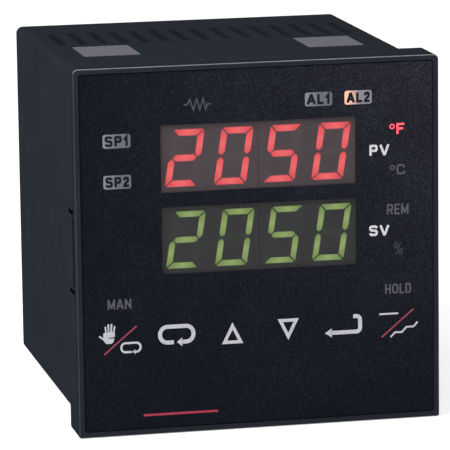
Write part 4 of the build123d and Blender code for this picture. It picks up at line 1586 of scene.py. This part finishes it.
@dataclass
class BoardParts:
    """Small parts on the upright boards: chip legs, loose parts, solder joints and fingers.

    Pins are places beside the middle of their part, to the back and up. A joint is its radius and
    its height.
    """

    shop: PaintShop
    leg_pitch: float = 1.27
    leg_width: float = 0.5
    leg_reach: float = 1.1
    leg_margin: float = 1.2
    leg_top: float = 0.22
    knee_reach: float = 0.35
    knee_foot: float = 0.2
    knee_top: float = 1.7
    knee_edge: float = 0.06
    fine_edge: float = 0.05
    edge_margin: float = 6.0
    front_margin: float = 11.0
    tongue_margin: float = 15.0
    row_step: float = 3.6
    column_step: float = 4.6
    room_deep: float = 2.6
    room_high: float = 2.8
    small: LooseSize = LooseSize(1.0, 0.62)
    large: LooseSize = LooseSize(1.25, 0.85)
    resistor_top: float = 0.5
    capacitor_top: float = 0.95
    body_share: float = 0.72
    end_shares: Point = (0.7, 1.12)
    end_rise: float = 0.03
    end_edge: float = 0.08
    relay_pins: tuple[Point, ...] = ((-7.6, -6.0), (-7.6, 6.0), (7.6, -6.0), (7.6, 6.0), (2.5, 0.0))
    can_pins: tuple[Point, ...] = ((0.0, -2.5), (0.0, 2.5))
    core_pins: tuple[Point, ...] = tuple((dy, dz) for dy in (-10.0, -5.0, 0.0, 5.0, 10.0)
                                         for dz in (-10.0, 10.0))
    relay_joint: Point = (1.15, 0.9)
    can_joint: Point = (1.0, 0.8)
    core_joint: Point = (1.1, 0.9)
    header_joint: Point = (0.85, 0.7)
    header_count: int = 15
    header_pitch: float = 2.54
    header_row: float = 4.0
    finger_count: int = 17
    finger_pitch: float = 3.81
    finger_width: float = 2.2
    finger_start: float = 7.6
    finger_end: float = 0.5
    finger_corner: float = 0.3
    finger_height: float = 0.035

    def add(self, form: Form, name: str, finish: Finish, slot: str) -> None:
        """Finishes a piece of the boards from its form, its name and its finish."""
        form.piece(name, finish, Body.INSTRUMENT, slot, self.shop)

    def board_sheets(self, node: str) -> tuple[Sheet, Sheet, Block]:
        """Finds the inner and the outer face of a board.

        Args:
            node: The name of the board.

        Returns:
            The inner sheet, the outer sheet and the board's box. Both sheets start at the frame's
            origin; the distance to the right is the depth, or its negative.
        """
        low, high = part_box(node)
        block = Block(tuple(c / MM for c in low), tuple(c / MM for c in high))
        sides = (block.high[0], block.low[0])
        forward = 1
        if block.centre[0] >= 0:
            sides = (block.low[0], block.high[0])
            forward = -1
        inner = Sheet((sides[0], 0, 0), (0, forward, 0), (0, 0, 1))
        outer = Sheet((sides[1], 0, 0), (0, -forward, 0), (0, 0, 1))
        return inner, outer, block

    def add_chip_legs(self) -> None:
        """Adds bent legs along the long sides of each chip."""
        inner, _, _ = self.board_sheets("logic_board")
        form = Form(inner)
        half = self.leg_width / 2
        for chip in solids_of("logic_chips"):
            start, end = -chip.high[1], -chip.low[1]
            count = int((end - start - self.leg_margin) / self.leg_pitch)
            first = (start + end) / 2 - self.leg_pitch * (count - 1) / 2
            for side, edge in ((-1, chip.low[2]), (1, chip.high[2])):
                for k in range(count):
                    u = first + self.leg_pitch * k
                    near, far = sorted((edge, edge + side * self.leg_reach))
                    form.prism(box(u - half, near, u + half, far), 0.0, self.leg_top, self.fine_edge)
                    near, far = sorted((edge, edge + side * self.knee_reach))
                    form.prism(box(u - half, near, u + half, far), self.knee_foot, self.knee_top,
                               self.knee_edge)
        self.add(form, "chip_legs", TINNED_LEADS, "plated_steel")

    def free_places(self, node: str, others: Sequence[str], seed: int, count: int) -> list[Point]:
        """Finds places on a board that no larger part covers.

        Args:
            node: The name of the board.
            others: The pieces that stand on it.
            seed: The start of the shuffle, so that each run gives the same places.
            count: How many places are wanted.

        Returns:
            Depth and height of each place, in millimetres.
        """
        _, _, board = self.board_sheets(node)
        taken = [block for other in others for block in solids_of(other)]
        front, back = board.low[1] + self.front_margin, board.high[1] - self.tongue_margin
        low, high = board.low[2] + self.edge_margin, board.high[2] - self.edge_margin
        places = [(depth, height) for depth in steps(front, back, self.column_step)
                  for height in steps(low, high, self.row_step)
                  if all(block.misses(depth, height, self.room_deep, self.room_high) for block in taken)]
        Random(seed).shuffle(places)
        return sorted(places[:count])

    def add_loose_parts(self) -> None:
        """Adds the small resistors and capacitors with their soldered ends."""
        large_parts = ("relays", "filter_capacitors", "transformer_core", "transformer_coil", "board_spacer")
        boards = (
            ("logic_board", ("logic_chips", "board_spacer"), 11, 62),
            ("power_board", large_parts, 23, 34),
        )
        for node, others, seed, count in boards:
            inner, _, _ = self.board_sheets(node)
            resistors, capacitors, ends = Form(inner), Form(inner), Form(inner)
            for index, (depth, height) in enumerate(self.free_places(node, others, seed, count)):
                u = inner.right[1] * depth
                size = self.small if index % 3 else self.large
                form, top = (resistors, self.resistor_top) if index % 2 else (capacitors, self.capacitor_top)
                low, high = height - size.low, height + size.low
                reach = size.half * self.body_share
                form.prism(box(u - reach, low, u + reach, high), self.fine_edge, top, self.fine_edge)
                for side in (-1, 1):
                    near, far = sorted(u + side * size.half * share for share in self.end_shares)
                    ends.prism(box(near, low, far, high), 0.0, top + self.end_rise, self.end_edge)
            self.add(resistors, "small_resistors_" + node, RESISTOR_BODY, "black_plastic")
            self.add(capacitors, "small_capacitors_" + node, CERAMIC_BODY, "lamp_resin")
            self.add(ends, "soldered_ends_" + node, TINNED_LEADS, "plated_steel")

    def add_solder_joints(self) -> None:
        """Adds the joints of the leads that come through the power board."""
        _, outer, _ = self.board_sheets("power_board")
        sign = outer.right[1]
        form = Form(outer)
        groups = (
            (solids_of("relays"), self.relay_pins, self.relay_joint),
            (solids_of("filter_capacitors"), self.can_pins, self.can_joint),
            (solids_of("transformer_core")[:1], self.core_pins, self.core_joint),
        )
        for blocks, pins, joint in groups:
            for block in blocks:
                _, y, z = block.centre
                for dy, dz in pins:
                    form.dome(sign * (y + dy), z + dz, *joint)
        self.add(form, "solder_joints_power", SOLDER, "plated_steel")

    def add_header_joints(self) -> None:
        """Adds the joints of the headers on the outer face of each board."""
        for node in BOARDS:
            _, outer, board = self.board_sheets(node)
            form = Form(outer)
            u = outer.right[1] * (board.low[1] + self.header_row)
            for k in range(self.header_count):
                v = board.centre[2] + (k - self.header_count // 2) * self.header_pitch
                form.dome(u, v, *self.header_joint)
            self.add(form, "header_joints_" + node, SOLDER, "plated_steel")

    def add_contact_fingers(self) -> None:
        """Adds the gilded fingers on the tongue of each board, on both faces."""
        half = self.finger_width / 2
        for node in BOARDS:
            inner, outer, board = self.board_sheets(node)
            for face, sheet in (("inner", inner), ("outer", outer)):
                form = Form(sheet)
                gaps = (self.finger_start, self.finger_end)
                left, right = sorted(sheet.right[1] * (board.high[1] - gap) for gap in gaps)
                for k in range(self.finger_count):
                    v = board.centre[2] + (k - self.finger_count // 2) * self.finger_pitch
                    outline = rounded_box((left, v - half, right, v + half), self.finger_corner, 2)
                    form.prism(outline, 0.0, self.finger_height)
                self.add(form, f"contact_fingers_{face}_{node}", GILDED, "brass")

    def build(self) -> None:
        """Adds everything on the boards."""
        self.add_chip_legs()
        self.add_loose_parts()
        self.add_solder_joints()
        self.add_header_joints()
        self.add_contact_fingers()


@dataclass
class FrameFinishes:
    """The finishes of the pieces that come with the frame."""

    shop: PaintShop
    flange_front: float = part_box("housing")[0][1] / MM
    can_end: float = 0.35
    pv_height: float = 71.85
    sv_height: float = 50.55

    def readout(self, name: str, face: Colour, unlit: Colour, lit: Finish) -> dict[str, Finish]:
        """Gives the pieces of one four-digit reading their finishes.

        Args:
            name: The reading's name.
            face: The colour of its modules' faces.
            unlit: The colour of its dark segments.
            lit: The finish of its lit segments.

        Returns:
            The finish of each piece by name.
        """
        module = MouldedPlastic(f"{name} module face", face, 0.6, 0.08, 0.5, 0.006, 16.0, 0.03)
        dark = MouldedPlastic(f"{name} unlit segments", unlit, 0.5, 0.1, 0.7, 0.004, 8.0, 0.04)
        return {f"{name}_module_left": module, f"{name}_module_right": module,
                f"{name}_dark_segments": dark, f"{name}_lit_segments": lit}

    def table(self) -> dict[str, Finish]:
        """Gives each piece of the frame its finish.

        Returns:
            The finish of each piece by name.
        """
        housing = SleevePlastic("housing plastic", (41, 46, 52), 0.7, 0.0, 0.4, 0.03, 12.0, 0.05,
                                gap_front=self.flange_front)
        steel = PlatedMetal("zinc plated steel", (188, 190, 188), 0.34, 0.5, 0.9)
        dark = MouldedPlastic("black plastic", (30, 31, 34), 0.5, 0.2)
        rubber = FoamRubber("black rubber", (28, 28, 30), 0.8, 0.1, 0.4)
        pad = FoamRubber("pale pad", (108, 106, 114), 0.85, 0.03, 0.7)
        pane = WindowPane("window pane", (52, 46, 50), 0.18, 0.12)
        stem = MouldedPlastic("key stem plastic", (48, 48, 52), 0.5, 0.2)
        can_end = solids_of("filter_capacitors")[0].high[0] - self.can_end
        red = LitSegments("red segments", (249, 103, 106), 0.5, 0.05, glow=(254, 116, 117),
                          end=(237, 84, 89), middle_height=self.pv_height)
        green = LitSegments("green segments", (140, 164, 97), 0.5, 0.05, glow=(154, 177, 110),
                            end=(121, 148, 83), middle_height=self.sv_height)
        return {
            "housing": housing,
            "panel_gasket": rubber,
            "rear_panel": MouldedPlastic("rear panel plastic", (34, 37, 42), 0.55, 0.15),
            "terminal_block_left": dark,
            "terminal_block_right": dark,
            "wire_clamps": steel,
            "terminal_screws": steel,
            "rear_screws": steel,
            "contact_bars": PlatedMetal("brass", (198, 168, 104), 0.36, 0.5, 1.2),
            "edge_connectors": MouldedPlastic("connector plastic", (26, 38, 34), 0.45, 0.25),
            "top_pad_left": pad,
            "top_pad_right": pad,
            "front_frame": EdgedPlastic("bezel plastic", (38, 42, 48), 0.5, 0.0, 0.3, 0.012, 12.0, 0.04),
            "front_seal": rubber,
            "front_film": PrintedFilm("printed film", (20, 23, 29), 0.55, 0.012),
            "pv_window": pane,
            "sv_window": pane,
            **self.readout("pv", (89, 79, 82), (94, 82, 85), red),
            **self.readout("sv", (60, 61, 62), (60, 68, 62), green),
            "display_board": CircuitBoard("display board", (30, 82, 48), 0.38, 0.4, across=Axis.X),
            "power_board": CircuitBoard("power board", (32, 86, 50), 0.38, 0.4, pitch=1.905),
            "logic_board": CircuitBoard("logic board", (28, 80, 48), 0.38, 0.4),
            "indicator_lights": MouldedPlastic("lamp resin", (186, 182, 176), 0.35, 0.4, 0.6),
            "key_switches": MouldedPlastic("switch plastic", (36, 35, 38), 0.4, 0.3),
            "board_screws": steel,
            "board_headers": MouldedPlastic("header plastic", (24, 24, 26), 0.45, 0.25),
            "board_spacer": MouldedPlastic("spacer plastic", (214, 212, 204), 0.5, 0.2, 0.6),
            "transformer_core": LaminatedSteel("laminated core", (112, 110, 108), 0.45, 0.4),
            "transformer_coil": WoundTape("winding tape", (206, 168, 60), 0.32, 0.4),
            "relays": MouldedPlastic("relay case", (34, 66, 128), 0.3, 0.45, 0.8, 0.01, 10.0, 0.05),
            "filter_capacitors": SleevedCan("sleeved can", (30, 44, 74), 0.3, 0.4, end_x=can_end),
            "logic_chips": MouldedPlastic("chip resin", (34, 34, 36), 0.5, 0.25, 0.25, 0.01),
            **{node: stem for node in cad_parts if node.startswith("key_stem_")},
        }

    def build(self) -> None:
        """Dresses every piece of the frame."""
        table = self.table()
        for node in sorted(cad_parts):
            self.shop.dress(node, table[node])


@dataclass
class Studio:
    """The floor, the lamps, the surroundings and the camera. Its places are in metres."""

    floor_reach: float = 3.0
    floor_level: float = -0.0002
    floor_colour: Colour = (244, 244, 245)
    floor_glow: float = 0.56
    room_light: float = 0.4
    lens: float = 301.9
    sensor: float = 36.0
    clip_start: float = 0.05
    clip_end: float = 20.0
    target: Triple = (0.0, 0.0, 0.045)
    camera_place: Triple = (-0.20983, -0.98376, 0.23193)
    camera_right: Triple = (0.97699, -0.21287, -0.01285)
    camera_up: Triple = (0.05138, 0.17646, 0.98295)
    camera_ahead: Triple = (0.20698, 0.96101, -0.18334)

    def add_floor(self) -> None:
        """Adds the pale floor, which the camera sees as white with a soft shadow."""
        reach = self.floor_reach
        mesh = bpy.data.meshes.new("floor")
        corners = [(x, y, self.floor_level) for x, y in box(-reach, -reach, reach, reach)]
        mesh.from_pydata(corners, [], [(0, 1, 2, 3)])
        mesh.update()
        floor = put("floor", mesh)
        bench = MaterialBench("floor paint")
        bench.give("Specular IOR Level", 0.0)
        cloud = bench.noise(120.0, 3.0)
        bench.give("Base Color", cloud.shades(self.floor_colour, ((0.3, 0.995), (0.7, 1.0))))
        bench.give("Roughness", 0.9)
        bench.give("Emission Color", (1.0, 1.0, 1.0, 1.0))
        bench.give("Emission Strength", bench.seen() * self.floor_glow)
        mesh.materials.append(bench.material)
        LOG.info("floor: %.1f m square", 2 * reach)

    def add_surroundings(self) -> None:
        """Adds the pale room light, which is white where it is seen or mirrored."""
        world = bpy.data.worlds.new("pale room")
        world.use_nodes = True
        bpy.context.scene.world = world
        bench = NodeBench(world.node_tree)
        background = bench.tree.nodes["Background"]
        bench.feed((1.0, 1.0, 1.0, 1.0), background.inputs["Color"])
        bench.feed(bench.seen().spread(self.room_light, 1.0, 0.0, 1.0), background.inputs["Strength"])
        LOG.info("surroundings: pale room")

    def add_lamp(self, name: str, place: Triple, size: float, power: float) -> None:
        """Adds a soft square lamp that points at the target.

        Args:
            name: The name of the lamp.
            place: Where it hangs.
            size: The side of its square.
            power: Its power in watts.
        """
        lamp = bpy.data.lights.new(name, "AREA")
        lamp.shape = "SQUARE"
        lamp.size = size
        lamp.energy = power
        holder = put(name, lamp)
        holder.location = place
        direction = Vector(self.target) - Vector(place)
        holder.rotation_euler = direction.to_track_quat("-Z", "Y").to_euler()
        LOG.info("%s: %.1f W", name, power)

    def add_camera(self) -> None:
        """Adds the camera at the photograph's angle."""
        data = bpy.data.cameras.new("camera")
        data.sensor_width = self.sensor
        data.sensor_fit = "HORIZONTAL"
        data.lens = self.lens
        data.clip_start = self.clip_start
        data.clip_end = self.clip_end
        camera = put("camera", data)
        turn = Matrix((self.camera_right, self.camera_up, -Vector(self.camera_ahead))).transposed()
        camera.matrix_world = Matrix.Translation(self.camera_place) @ turn.to_4x4()
        bpy.context.scene.camera = camera
        LOG.info("camera: lens %.1f mm", self.lens)

    def build(self) -> None:
        """Adds the whole studio."""
        self.add_floor()
        self.add_surroundings()
        self.add_lamp("key_lamp", (-0.82, -0.52, 0.92), 0.5, 12.0)
        self.add_lamp("front_lamp", (-0.1, -1.0, 0.75), 0.35, 3.0)
        self.add_camera()
        bpy.context.scene.view_settings.view_transform = "Standard"


def main() -> None:
    """Builds the classes in order."""
    logging.basicConfig(level=logging.INFO, format="%(name)s: %(message)s")
    shop = PaintShop()
    Studio().build()
    FrameFinishes(shop).build()
    FrontPrint(shop).build()
    RearMarks(shop).build()
    BoardParts(shop).build()


if __name__ == "__main__":
    main()
